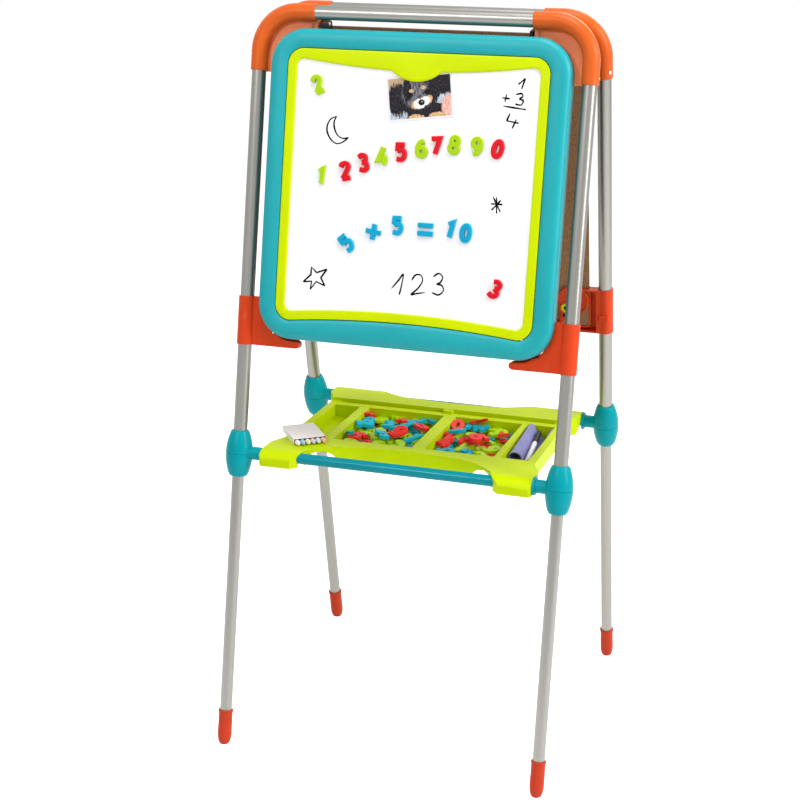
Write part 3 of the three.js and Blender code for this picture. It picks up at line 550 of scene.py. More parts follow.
# ---- curves
def spline(points, count):
    """A Catmull-Rom curve: on each span, the cubic through its ends whose slopes are half the
    step between their neighbours."""
    p = np.array(points, float)
    p = np.vstack([2 * p[0] - p[1], p, 2 * p[-1] - p[-2]])
    t = np.linspace(0, len(points) - 1, count)
    i = np.minimum(t.astype(int), len(points) - 2)
    f = (t - i)[:, None]
    a, b, c, d = p[i], p[i + 1], p[i + 2], p[i + 3]
    return (2 * b + (c - a) * f + (2 * a - 5 * b + 4 * c - d) * f ** 2
            + (3 * b - 3 * c + d - a) * f ** 3) / 2


def arc(cx, cy, r, start, end, count):
    """Points on a circle from one angle to another, in degrees."""
    a = np.radians(np.linspace(start, end, count))
    return np.stack([cx + r * np.cos(a), cy + r * np.sin(a)], -1)


def oblong(x0, x1, y0, y1):
    return [[x0, y0], [x1, y0], [x1, y1], [x0, y1]]


def rounded(points, radius, steps=4):
    """A closed polygon with each corner replaced by a parabola that starts and ends `radius`
    along its two sides, or halfway along a shorter side."""
    p = np.array(points, float)
    before, after = np.roll(p, 1, 0) - p, np.roll(p, -1, 0) - p

    def back(side):
        long = np.linalg.norm(side, axis=1, keepdims=True)
        return p + side * np.minimum(radius / long, 0.499)
    t = np.linspace(0, 1, steps + 1)[None, :, None]
    start, end = back(before)[:, None], back(after)[:, None]
    return ((1 - t) ** 2 * start + 2 * t * (1 - t) * p[:, None] + t ** 2 * end).reshape(-1, 2)


def turned(profile, facets=48):
    """[radius, along] pairs turned about an axis: (r cos a, r sin a, along)."""
    a = np.linspace(0, 2 * np.pi, facets, endpoint=False)[:, None]
    r, s = np.asarray(profile, float).T
    return np.stack(np.broadcast_arrays(r * np.cos(a), r * np.sin(a), s), -1)


def down_tube(profile, facets=48):
    """A turned shape whose axis runs down the frame at the upright."""
    return turned(profile, facets) + (HALF_WIDTH, 0, 0)


def cross_tube(profile, down=0.0, out=0.0, facets=48):
    """A turned shape whose axis runs across the frame, at `out` and `down`."""
    return turned(profile, facets)[..., [2, 0, 1]] + (0, out, down)


def wall(outer, bore, start, end):
    """A tube's closed profile, with its end edges eased."""
    return rounded(oblong(bore, outer, start, end), 0.4, 3)


def mitred(points, closed=True):
    """Each point's normal: the mean of its two edges' normals, as long as their mitre needs."""
    p = np.asarray(points, float)
    after = np.roll(p, -1, 0) - p
    before = np.roll(after, 1, 0)
    if not closed:
        after[-1], before[0] = before[-1], after[0]

    def normal(step):
        long = np.linalg.norm(step, axis=1, keepdims=True)
        return np.stack([-step[:, 1], step[:, 0]], -1) / np.maximum(long, 1e-9)
    one, two = normal(before), normal(after)
    middle = (one + two) / np.maximum(np.linalg.norm(one + two, axis=1, keepdims=True), 1e-9)
    return middle / np.maximum((middle * two).sum(1, keepdims=True), 0.5)


def inset(outline, distance):
    """A closed outline moved in by `distance` along its mitred normals."""
    p = np.asarray(outline, float)
    x, y = p.T
    turn = np.sign((x * np.roll(y, -1) - np.roll(x, -1) * y).sum())
    return p + turn * distance * mitred(p)


def plate(outline, low, high, edge=0.6, steps=3):
    """A flat plate with rounded edges: the outline moves in along a quarter circle at its two
    faces. Returns rows of points with the third number as the height."""
    a = np.radians(np.linspace(0, 90, steps + 1))
    moves = [(edge * (1 - math.sin(t)), low + edge * (1 - math.cos(t))) for t in a]
    moves += [(edge * (1 - math.cos(t)), high - edge * (1 - math.sin(t))) for t in a]
    return np.stack([np.column_stack([inset(outline, d), np.full(len(outline), h)])
                     for d, h in moves])


def facing(points):
    """(x, down, height) points to a leaning frame's (x, out, down)."""
    return points[..., [0, 2, 1]]


def lifted(flat, height):
    """Rows of (x, down) points, each column at its height, as a frame's (x, out, down)."""
    return np.stack([flat[..., 0], np.broadcast_to(height, flat.shape[:2]), flat[..., 1]], -1)


# ---- tubes, hubs, bars and feet
def tubes():
    for end in TURN:
        half = HALF_WIDTH - ELBOW_REACH + SOCKET
        rail = Form(f"{end}_frame", leaning(end))
        rail.ring(cross_tube(wall(TUBE_R, TUBE_BORE, -half, half)))
        # the streaks follow the third number of the piece's own coordinates
        rail.own = [points[:, [1, 2, 0]] for points in rail.own]
        rail.build(f"{end}_rail_tube", STEEL, "silver_tube", f"{end}_top_rail")
        bar = Form(f"{end}_frame", leaning(end))
        bar.ring(cross_tube(wall(BAR_R, BAR_BORE, -BAR_HALF, BAR_HALF), BAR_DOWN))
        bar.build(f"{end}_bar_tube", TEAL_BAR, "teal_bar", f"{end}_crossbar")
    for at in CORNERS:
        for part, body, section in (
                ("upright", at.body, (TUBE_R, TUBE_BORE, ELBOW_DROP - SOCKET, HUB_SEAM - 2)),
                ("leg", at.name("leg"), (LEG_R, LEG_BORE, LEG_TOP, LEG_END))):
            node = at.name(part)
            tube = at.form(body).ring(down_tube(wall(*section)))
            tube.build(f"{node}_tube", STEEL, "silver_tube", node)
        foot(at)
        hub(at)
        collar(at)


def foot(at):
    """A rubbery boot: a turned shape with a rolled top and a domed toe, whose lowest part is
    pressed flat where it meets the floor."""
    outside = spline([[12.6, FOOT_TOP + 0.4], [13.2, FOOT_TOP + 1.6], [13.1, FOOT_TOP + 3.6],
                      [12.3, FOOT_TOP + 5.4], [12.2, FOOT_TOP + 20], [12.4, 1255], [11.6, 1264],
                      [9.4, 1271.5], [5.6, 1276.5], [0.4, 1279]], 44)
    bore, deep = LEG_R + GAP, LEG_END + 0.5
    inside = [[0.4, deep], [bore, deep], [bore, FOOT_TOP + 0.4]]

    def place(points):
        world = at.place(points)
        world[..., 2] = np.maximum(world[..., 2], 0)
        return world
    boot = Form(at.name("leg"), place).ring(down_tube(np.vstack([inside, outside])))
    boot.build(at.name("boot"), BOOT_PAINTED_SHADE, "orange_plastic", at.name("foot"))


def hub(at):
    """The two halves of a hub, each a smooth barrel curve turned about the tube, meeting at a
    fine groove."""
    bore, leg_bore, seam = TUBE_R + GAP, LEG_R + GAP, HUB_SEAM + GAP
    upper = spline([[14.6, HUB_TOP + 0.6], [15.8, HUB_TOP + 2], [18.6, 722], [21.2, 732],
                    [22.9, 742], [HUB_R, HUB_SEAM - 1.2]], 30)
    upper = np.vstack([[[bore, HUB_TOP + 0.2], [13.8, HUB_TOP]], upper,
                       [[HUB_R - 0.1, HUB_SEAM - 0.3], [HUB_R - 0.4, HUB_SEAM], [bore, HUB_SEAM]]])
    lower = spline([[HUB_R - 0.1, seam + 1.2], [22.9, 764], [21.2, 775], [18.2, 786],
                    [15.8, HUB_END - 2], [14.6, HUB_END - 0.6]], 30)
    lower = np.vstack([[[leg_bore, seam], [HUB_R - 0.4, seam], [HUB_R - 0.1, seam + 0.3]],
                       lower, [[13.8, HUB_END], [leg_bore, HUB_END - 0.2]]])
    for profile, part, node in ((upper, "barrel", "hub"), (lower, "barrel_cap", "hub_cap")):
        half = at.form().ring(down_tube(profile, 64))
        half.build(at.name(part), TEAL, "teal_plastic", at.name(node))


def collar(at):
    """A sleeve on the bar's end, with a flange where it meets the tray on the right."""
    bore, lip = BAR_R + GAP, [[COLLAR_R, COLLAR_FACE]]
    if at.word == "right":
        lip = [[FLANGE_R, COLLAR_FACE], [FLANGE_R, FLANGE_BACK], [COLLAR_R, FLANGE_BACK]]
    profile = [[bore, COLLAR_FACE], *lip, [COLLAR_R, COLLAR_END], [bore, COLLAR_END]]
    sleeve = at.form().ring(cross_tube(rounded(profile, 0.9, 3), BAR_DOWN))
    sleeve.build(at.name("bar_sleeve"), TEAL, "teal_plastic", at.name("bar_collar"))


# ---- elbows
HINGE_SIDE = (RAIL_SPACING / 2, RAIL_HEIGHT - HINGE_HEIGHT)
HINGE_IN = HINGE_SIDE[0] * COS + HINGE_SIDE[1] * SIN
HINGE_DOWN = HINGE_SIDE[1] * COS - HINGE_SIDE[0] * SIN
HINGE_PIN = ((0.1, 176.4), (3.2, 176.9), (3.6, 178), (2.8, 178.2), (2.8, 197.8), (3.6, 198),
             (3.2, 199.1), (0.1, 199.6))         # radius and x
OUTER_EAR, INNER_EAR = (192, 198), (178, 183)    # their two faces, in x
SCREW_DOWN = 87


def curved_sleeve():
    """Circles round a path that runs up the upright, through a quarter bend and along the
    rail. The outside runs to one end and the bore runs back, so it is closed, and its ends are
    rounded by `ease`."""
    rise, run, ease = ELBOW_DROP - ELBOW_BEND, ELBOW_REACH - ELBOW_BEND, 1.2
    quarter = ELBOW_BEND * math.pi / 2
    length = rise + quarter + run
    ends = np.array([0, 0.15, 0.5, 1.1, 2])
    s = np.concatenate([ends, np.linspace(4, length - 4, 72), length - ends[::-1]])
    near = np.minimum(np.minimum(s, length - s), ease) / ease
    outer = ELBOW_R - ease * (1 - np.sqrt(1 - (1 - near) ** 2))
    s = np.concatenate([s, s[::-1]])
    r = np.concatenate([outer, np.full(len(outer), TUBE_R + 0.1)])[:, None, None]
    bend = np.clip((s - rise) / ELBOW_BEND, 0, math.pi / 2)
    x = HALF_WIDTH - ELBOW_BEND * (1 - np.cos(bend)) - np.maximum(s - rise - quarter, 0)
    down = ELBOW_DROP - np.minimum(s, rise) - ELBOW_BEND * np.sin(bend)
    centre = np.stack([x, np.zeros_like(x), down], -1)[:, None]
    away = np.stack([np.cos(bend), np.zeros_like(x), -np.sin(bend)], -1)[:, None]
    turn = np.linspace(0, 2 * np.pi, 40, endpoint=False)[None, :, None]
    return centre + r * (np.cos(turn) * away + np.sin(turn) * np.array([0, 1, 0]))


def web_outline():
    """The corner plate behind the board: along the sleeve's bend, and back along an arc that
    the board's corner hides."""
    hollow, drop, reach = CORNER_R - 18, ELBOW_DROP + 1, HALF_WIDTH - ELBOW_REACH
    cx, cy = BOARD_HALF - CORNER_R, BOARD_TOP + CORNER_R
    start = math.degrees(math.asin((drop - cy) / hollow))
    outer = arc(HALF_WIDTH - ELBOW_BEND, ELBOW_BEND, ELBOW_BEND, 0, -90, 24)
    inner = arc(cx, cy, hollow, -97, start, 24)
    return np.vstack([[[HALF_WIDTH, drop]], outer, [[reach, 0], [reach, 46]], inner])


def ear(low, high):
    """A hinge ear: an eye on the hinge axis tapering back to the web, as a plate across x."""
    eye = arc(HINGE_IN, HINGE_DOWN, 8, 81, -112, 20)
    outline = np.vstack([eye, [[-WEB[1], 17], [-WEB[1], 46]]])
    inward, down, across = np.moveaxis(plate(outline, low, high, 0.5), -1, 0)
    return np.stack([across, -inward, down], -1)


def elbows():
    pin = cross_tube(rounded(HINGE_PIN, 0.3, 2), HINGE_DOWN, -HINGE_IN, 24)
    ears_foot = oblong(178, 200.5, 30, 50)
    for at in CORNERS:
        elbow = at.form().ring(curved_sleeve())
        web = at.form().block(facing(plate(web_outline(), *WEB, 0.5)))
        # the web's lighter orange is painted light
        web.build(at.name("web"), WEB_PAINTED_LIGHT)
        if at.end == "front":
            elbow.block(ear(*OUTER_EAR)).block(facing(plate(ears_foot, *WEB, 0.5)))
            at.form().block(ear(*INNER_EAR)).build(f"hinge_cheek_{at.word}", BLACK)
            at.form().ring(pin).build(f"hinge_rivet_{at.word}", PIN, "pin_steel",
                                      f"hinge_pin_{at.word}")
        elbow.build(at.name("corner"), ELBOW_PAINTED_LIGHT, "orange_plastic", at.name("elbow"))


def screws():
    """A round screw head on the inner side of each elbow's sleeve."""
    across, out = np.array([0.6, 0.8, 0]), np.array([0.8, -0.6, 0])
    profile = rounded([[0.1, -0.6], [3.1, -0.6], [3.1, 0.7], [0.1, 0.9]], 0.3, 2)
    place = carried(ELBOW_R * out + (HALF_WIDTH, 0, SCREW_DOWN), (0, 0, 1), across, out)
    for at in CORNERS:
        at.form().ring(place(turned(profile, 20))).build(at.name("elbow_screw"), PIN)


# ---- lower brackets
def brackets():
    """The CAD's brackets and turn-buttons with soft edges. On each bracket's inner face: a black
    core in the turn-button and in a smaller ring, painted shade for their holes, and a rounded
    stop on the sleeve."""
    ring = rounded(oblong(3.4, 5.8, -15, -12.8), 0.6, 2)
    pill = rounded(oblong(-8.4, 8.4, -4.2, 4.2), 3.4)
    for at in CORNERS:
        softened(at.name("bracket"), at.name("bracket") + "_form", ORANGE, 0.8, at.body)
        softened(at.name("board_button"), at.name("button"), LIME, 0.6, at.body)
        # black discs painted as the shade inside the button's and the ring's holes
        hole_shades = at.form()
        for centre, r, low, high in ((BUTTON, 4.1, -13.4, -10.4), (RING, 3.6, -14.2, -12.8)):
            hole_shades.block(facing(plate(arc(*centre, r, 0, 348, 30), low, high, 0.5, 2)))
        hole_shades.build(at.name("button_core"), BLACK)
        stop = at.form().ring(facing(turned(ring, 32)) + (RING[0], 0, RING[1]))
        stop.block(facing(plate(pill, -17.4, -11.5, 1.6, 4)) + (HALF_WIDTH, 0, RING[1]))
        stop.build(at.name("bracket_stop"), ORANGE)


# ---- board
def board_outline(margin, radius, top_bow=None, bottom_bow=None, across=48):
    """The board's outline, clockwise from the top left corner, as (x, down) pairs: four quarter
    circles with points along the top and bottom edges, which the bows push down and up."""
    half, top, low = BOARD_HALF - margin, BOARD_TOP + margin, BOARD_BOTTOM - margin
    straight = half - radius
    x = np.linspace(-straight, straight, across + 2)[1:-1]
    points = np.vstack([
        arc(-straight, top + radius, radius, 180, 270, 16),
        np.column_stack([x, np.full(across, top)]),
        arc(straight, top + radius, radius, 270, 360, 16),
        arc(straight, low - radius, radius, 0, 90, 16),
        np.column_stack([-x, np.full(across, low)]),
        arc(-straight, low - radius, radius, 90, 180, 16)])
    upper = points[:, 1] < (top + low) / 2
    if top_bow:
        points[:, 1] += upper * top_bow(points[:, 0])
    if bottom_bow:
        points[:, 1] -= ~upper * bottom_bow(points[:, 0])
    return points


def arch(x, rise=11):
    """The window's bottom edge rises in the middle as a parabola, 400 mm across."""
    return rise * np.maximum(0, 1 - (x / 200) ** 2)


def crown(x):
    """The window's top edge swells down as a parabola, and a round tongue hangs from it."""
    half, r = 43, 66
    tongue = np.sqrt(np.maximum(r * r - x * x, 0)) - math.sqrt(r * r - half * half)
    return arch(x, 15) + np.maximum(tongue, 0)


def moulding(outer, inner, profile):
    """A closed frame between two outlines that match point by point: each profile point is a
    share of the way across and a height."""
    share, height = np.asarray(profile, float).T
    return lifted(outer[:, None] + (inner - outer)[:, None] * share[None, :, None], height)


def board():
    outer = board_outline(0, CORNER_R)
    inner = board_outline(RIM, CORNER_R - RIM, bottom_bow=arch)
    crest = spline([[0, 12], [0.03, 15.6], [0.1, 18.8], [0.22, 21.4], [0.38, 22.8], [0.6, 23],
                    [0.85, 22.2], [0.97, 21]], 36)
    section = np.vstack([[[0.02, -7.2], [0, -6.6]], crest, [[1, 20.2], [1, 16], [1, -7.2]]])
    surround = front_form().ring(moulding(outer, inner, section))
    # the surround's lighter teal is painted sheen
    surround.build("surround_moulding", TEAL_RIM_SHEEN, "teal_plastic", "board_surround")

    edge = RIM + SEAM
    outer = board_outline(edge, CORNER_R - edge, bottom_bow=arch, across=96)
    inner = board_outline(RIM + 17, 13, crown, arch, 96)
    crest = spline([[0, 19.6], [0.012, 20.6], [0.06, 21.15], [0.3, 21.3], [0.8, 21.1],
                    [0.95, 20.7], [1, 19.7]], 30)
    section = np.vstack([[[0, 9]], crest, [[1, 17.8], [0.3, 17.8], [0.3, 9]]])
    window = front_form().ring(moulding(outer, inner, section))
    window.build("window_frame", LIME, "lime_plastic", "whiteboard_bezel")
    boss = facing(plate(arc(0, 0, 5.2, 0, 352, 32), 20.8, 22.4, 0.8)) + (-211, 0, 500)
    front_form().block(boss).build("window_frame_boss", LIME)


def dress_cad():
    """Flat sheets and the hinges' middle leaves keep their CAD shape and get their real
    finish."""
    for node, material in (
            ("whiteboard_sheet", ENAMEL), ("whiteboard_back", BOARD), ("chalkboard_panel", BOARD),
            ("chalkboard_face", SLATE), ("hinge_knuckle_left", BLACK),
            ("hinge_knuckle_right", BLACK)):
        repaint(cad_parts[node].data, material)


# ---- magnets and drawings
def oval(cx, cy, rx, ry):
    a = np.linspace(0, 2 * np.pi, 29)
    return np.stack([cx + rx * np.sin(a), cy + ry * np.cos(a)], -1)


def bent(*points):
    return spline(points, 8 * len(points))


# The centre lines of each figure's strokes, in mm about its middle, x across and y up.
SIX = (bent((5, 12), (-1, 10), (-5.6, 3.5), (-6.6, -3.5)), oval(0, -5.2, 6.6, 7.2))
FIGURES = {
    "0": (oval(0, 0, 6.6, 12.4),),
    "1": ([(-5.5, 7.5), (1, 12.5), (1, -12.5)],),
    "2": (bent((-6.5, 7.5), (-3.5, 11.8), (2.5, 12.2), (6.6, 8), (5, 2.5), (-1, -5), (-6.2, -11.6)),
          [(-6.8, -12.3), (7, -12.3)]),
    "3": (bent((-6, 10.3), (0, 12.6), (5.4, 9.8), (5.2, 3.8), (0, 0.8)),
          bent((-0.5, 0.8), (5.6, -2.2), (6.4, -8.6), (1, -12.4), (-6.5, -10))),
    "4": ([(4.2, 15), (-7, -4.5), (9, -4.5)], [(3.6, 4), (3.6, -13.5)]),
    "5": ([(6.5, 12.3), (-5, 12.3), (-5.6, 1.6)],
          bent((-5.6, 1.5), (0, 3.8), (5.6, 1.4), (6.4, -5.5), (1.8, -11.8), (-6.5, -11.2))),
    "6": SIX,
    "7": ([(-7, 12.3), (6.5, 12.3), (-2, -12.5)],),
    "8": (oval(0, 6, 5.6, 6.3), oval(0, -6, 6.8, 6.6)),
    "9": tuple(-np.asarray(line) for line in SIX),
    "+": ([(-13, 0), (13, 0)], [(0, -13), (0, 13)]),
    "=": ([(-13, 6.8), (13, 6.8)], [(-13, -6.8), (13, -6.8)]),
}


def figure(form, text, degrees, place, size=1.0):
    """Adds a magnetic figure, turned anticlockwise by `degrees`, to `form`: each stroke is a
    ribbon whose sides taper by a half-millimetre towards its bevelled front, and strokes that
    meet differ in height by a hair. `place` takes its (across, up, out) to the form's own."""
    a = math.radians(degrees)
    turn = carried((0, 0, 0), (math.cos(a), math.sin(a), 0), (-math.sin(a), math.cos(a), 0),
                   (0, 0, 1))
    half, thick = 4.2, 5.2
    side = np.array([half, half - 0.3, half - 1.1, 1.1 - half, 0.3 - half, -half])
    rise = np.array([0, thick - 0.9, thick, thick, thick - 0.9, 0])
    for k, line in enumerate(FIGURES[text]):
        line = np.asarray(line, float)
        closed = bool(np.allclose(line[0], line[-1]))
        line = line[:-1] if closed else line
        flat = line[:, None] + mitred(line, closed)[:, None] * side[None, :, None]
        up = np.broadcast_to(rise + 0.05 * k * (rise > 1), flat.shape[:2])
        form.grid(place(turn(np.dstack([flat, up]) * size)), (closed, True), not closed)


# The figures on the board, by colour: what each is, its x and down, and how far it is turned.
BOARD_FIGURES = {
    "green": (("1", -154, 269, -6), ("4", -50, 231, 8), ("6", 17, 214, 4), ("8", 73, 205, -8),
              ("9", 111, 206, -3), ("2", -170, 119, 26)),
    "red": (("2", -113, 258, 14), ("3", -83, 243, 12), ("5", -18, 222, 2), ("7", 42, 209, 4),
            ("0", 146, 208, -12), ("3", 157, 433, -24)),
    "blue": (("5", -103, 377, 42), ("+", -57, 355, -8), ("5", -16, 342, 0), ("=", 33, 345, 0),
             ("1", 76, 342, -14), ("0", 102, 346, -6))}

# Pen strokes, as (x, down) points; a curved stroke runs smoothly through its points.
CURVED = (
    ((-134, 169), (-145, 175), (-150, 186), (-149, 197), (-142, 208), (-132, 214), (-121, 211),
     (-111, 203)),
    ((-111, 203), (-121, 205), (-131, 200), (-137, 189), (-138, 178), (-134, 169)),
    ((169, 120), (178, 118), (181, 122), (175, 127)), ((175, 127), (182, 129), (179, 136), (169, 135)),
    ((-20, 446), (-9, 432), (-1, 421), (-3, 440), (-6, 456)),
    ((14, 430), (20, 421), (29, 420), (33, 429), (26, 442), (15, 453), (24, 451), (39, 448)),
    ((51, 421), (60, 415), (67, 420), (64, 429), (57, 433)),
    ((57, 433), (66, 434), (70, 442), (62, 450), (50, 447)))
STRAIGHT = (
    ((-164, 421), (-154, 430), (-136, 423), (-146, 438), (-138, 451), (-154, 445), (-164, 459),
     (-162, 445), (-177, 447), (-164, 434), (-164, 421)),
    ((172, 104), (183, 94), (178, 111)), ((147, 126), (160, 127)), ((154, 120), (152, 132)),
    ((149, 139), (188, 143)), ((162, 150), (157, 162), (177, 165)), ((173, 159), (167, 174)),
    ((143, 284), (157, 308)), ((157, 289), (142, 306)), ((140, 296), (160, 296)),
    ((149, 284), (151, 311)))
PEN_WIDTH = 3.3


def straight(points):
    """Eight points along each side of a line with corners."""
    p = np.asarray(points, float)
    t = np.linspace(0, 0.98, 8)[:, None]
    return np.vstack([*(a + (b - a) * t for a, b in zip(p, p[1:])), p[-1:]])


def pen_stroke(form, p):
    """A line of dried ink: a shallow arched strip along the points, whose width swells and
    thins a little and which narrows at its two ends."""
    step = np.gradient(p, axis=0)
    normal = np.stack([-step[:, 1], step[:, 0]], -1)
    normal /= np.linalg.norm(normal, axis=1, keepdims=True)
    s = np.linspace(0, 1, len(p))
    swell = (0.85 + 0.15 * np.sin(9 * s + p[0, 0])) * np.minimum(1, 0.45 + 9 * np.minimum(s, 1 - s))
    side = np.array([-1, -0.5, 0.5, 1, 0.5, -0.5]) * PEN_WIDTH / 2
    rise = np.array([0.02, 0.1, 0.1, 0.02, 0, 0])
    across = p[:, None] + normal[:, None] * side[None, :, None] * swell[:, None, None]
    form.block(lifted(across, SHEET + rise))


def drawings():
    form = front_form()
    for points in CURVED:
        pen_stroke(form, spline(points, 10 * len(points)))
    for points in STRAIGHT:
        pen_stroke(form, straight(points))
    form.build("pen_drawings", INK)


def board_magnets():
    for colour, figures in BOARD_FIGURES.items():
        form = front_form()
        for text, x, down, turn in figures:
            upright = carried((x, SHEET + 0.1, down), (1, 0, 0), (0, 0, -1), (0, 1, 0))
            figure(form, text, turn, upright)
        form.build(f"board_magnets_{colour}", MAGNETS[colour])


CARD_MIDDLE = (8.5, SHEET + 0.1, 131.5)


def card():
    """A stiff card held flat on the board at CARD_MIDDLE, turned a little. Its thickness thins
    by (x / 80) squared towards its sides, as a very slight bow."""
    turn, half, high = math.radians(7.4), 56.5, 37
    sin, cos = math.sin(turn), math.cos(turn)
    on_board = carried(CARD_MIDDLE, (cos, 0, -sin), (-sin, 0, -cos), (0, 1, 0))

    def place(points):
        points = points.copy()
        points[..., 2] *= 1 - (points[..., 0] / 80) ** 2
        return leaning("front")(on_board(points))
    outline = rounded(oblong(-half, half, -high, high), 1.2)
    sheet = Form("front_frame", place).block(plate(outline, 0, 0.9, 0.15, 1))
    piece = sheet.build("picture_card", PICTURE)


# ---- tray and what lies in it
BLOCK_REACH = 9
CARTON_MIDDLE, CARTON_GROWTH = (-196, -102, TRAY_TOP + GAP + 5.3), (1.06, 1.06, 1)
MOUTH_WAY = (0.613, -0.79, 0)                    # the way that the carton's mouth faces
MOUTH_SIDE = (0.79, 0.613, 0)
CHALK_PITCH = 9.2
CLOTH_FRONT, CLOTH_LENGTH = -60, 142             # in y
LAYER, HALF_FIGURE = 4.2, 12


def eased_tray(points):
    """The tray's inner edges eased: between two smooth steps in x and behind one in y, the front
    blocks reach further in beside their arches, and a broken line takes y before to y after, so
    that the rear groove and ledge stand further back and the wells' rear walls further in."""
    x, y, z = points.T

    def step(value, start, end):
        t = np.clip((value - start) / (end - start), 0, 1)
        return t * t * (3 - 2 * t)
    reach = step(abs(x), 126, 162) * (1 - step(abs(x), 178, 218)) * step(-y, 100, 125)
    before, after = (60, 99, 101.4, 107, 107.5, 110, 151), (60, 91, 108.2, 115, 115.5, 118, 151)
    y = np.where((y > before[0]) & (y < before[-1]), np.interp(y, before, after), y)
    return np.stack([x - BLOCK_REACH * reach * np.sign(x), y, z], -1)


def tray():
    """The CAD's tray with soft edges, and two small round ejector marks on each divider, darker as
    painted dimple shade.
    """
    softened("tray", "tray_moulding", LIME_TRAY, 1.0, "tray", eased_tray)
    marks = Form("tray")
    for x, y in ((-152, 32), (-151, -43), (7, 10), (7, -19), (157, 36), (156, -43)):
        marks.block(plate(arc(0, 0, 1.7, 0, 348, 16), 0, 0.25, 0.1, 1) + (x, y, TRAY_TOP))
    marks.build("divider_marks_painted_shade", DIMPLE_SHADE_PAINT)


def chalks():
    """Six sticks with tapered tips look out of the carton's mouth, a black sheet painted as the shade
    inside it.
    """
    softened("chalk_box", "chalk_carton", CARTON, 0.4, "tray",
             lambda points: (points - CARTON_MIDDLE) * CARTON_GROWTH + CARTON_MIDDLE)
    place = carried(CARTON_MIDDLE, MOUTH_WAY, MOUTH_SIDE, (0, 0, 1))
    # a black sheet across the mouth, painted shade for the carton's inside
    mouth = plate(rounded(oblong(-28, 28, -4.7, 4.7), 0.5), 0, 0.4, 0.1, 1)
    mouth = mouth[..., [2, 0, 1]] + (38.5, 0, 0)
    Form("tray", place).block(mouth).build("carton_mouth_painted_shade", BLACK)
    tip = spline([[4.45, 3.5], [3.9, 7], [2.9, 11]], 8)
    profile = np.vstack([[[0.1, 0.3], [4.45, 0.3]], tip, [[2.2, 12.2], [0.1, 12.6]]])
    for k, finish in enumerate(CHALKS):
        stick = turned(profile, 24)[..., [2, 0, 1]] + (38.4, CHALK_PITCH * (k - 2.5), -0.6)
        Form("tray", place).block(stick).build(f"chalk_{k + 1}", finish)


def pen():
    """The pen: its barrel with a black plug in the front end, and the cap over the other end,
    each a smooth profile turned about the line from its front end to its rear one."""
    front, rear = np.array([[200, -64, TRAY_FLOOR + 8.7], [185.5, 80, TRAY_FLOOR + 16.2]])
    way = (rear - front) / np.linalg.norm(rear - front)
    side = np.cross(way, (0, 0, 1)) / np.linalg.norm(np.cross(way, (0, 0, 1)))
    place = carried(front, side, np.cross(side, way), way)
    barrel = [[0.1, 0], [3.8, 0], [4.5, 0.8], [4.8, 3], [4.8, 86], [4.5, 88], [0.1, 88]]
    cap = [[0.1, 88.3], [5, 88.3], [5.1, 89], [4.9, 130], [4.6, 138], [3.7, 141.6], [0.1, 142]]
    plug = [[0.1, -4.6], [2.4, -4.5], [3.7, -3.6], [4.1, -1], [4.1, 0.4], [0.1, 0.4]]
    for name, profile, finish, slot, node in (
            ("pen_barrel", barrel, WHITE, "white_plastic", "marker_body"),
            ("pen_cap", cap, BLACK, "black_plastic", "marker_cap"),
            ("pen_plug", plug, BLACK, None, None)):
        points = turned(rounded(profile, 0.5, 2), 32)
        Form("tray", place).ring(points).build(name, finish, slot, node)


def cloth_section(t):
    """The cloth's line across the well at t, from 0 at its front edge to 1 at its rear one, as
    (x, height above the well's floor): a loop that opens into a tall fold towards the rear, a
    stretch lying flat, and an edge that climbs the well's right wall."""
    rise = t * t * (3 - 2 * t)
    wide, tall = 11.8 - 4.6 * t, 9.4 + 3 * rise
    centre = (176 - 6.4 * t, tall + 1.4)
    a = np.radians(np.linspace(-60, -345, 40))
    loop = np.stack([centre[0] + wide * np.cos(a), centre[1] + tall * np.sin(a)], -1)
    climb = min(1.0, 1.25 * t)
    edge = (199 + 10.4 * min(1, 1.5 * climb), 1.5 + 21.5 * climb)
    tail = [[190, 1.5], [min(edge[0] - 3, 203), 1.4],
            [edge[0] - 0.8, 1.5 + 0.45 * (edge[1] - 1.5)], edge]
    return spline(np.vstack([loop[::3], tail]), 90)


def cloth():
    """A piece of felt, 2 mm thick, loosely rolled on the left and pushed up on the right."""
    rows = []
    for t in np.linspace(0, 1, 48):
        line = cloth_section(t)
        s = np.linspace(0, 1, len(line))
        ripple = 0.35 * np.sin(14 * s + 9 * t) * np.sin(21 * t + 5 * s)
        normal = mitred(line, closed=False)
        upper, lower = line + normal * (1 + ripple[:, None]), line - normal * (1 - ripple[:, None])
        lower[:, 1] = np.maximum(lower[:, 1], 0.35)
        loop = np.vstack([upper, lower[::-1]])
        depth = CLOTH_FRONT + CLOTH_LENGTH * t + 5 * np.sin(3 * s)
        depth = np.concatenate([depth, depth[::-1]])
        rows.append(np.column_stack([loop[:, 0], depth, TRAY_FLOOR + loop[:, 1]]))
    piece = Form("tray").block(rows).build("felt_sheet", FELT, "felt", "felt_cloth", 60)


BELOW = (0.2, 0.62, 0.18)          # shares of red, green and blue under the heap
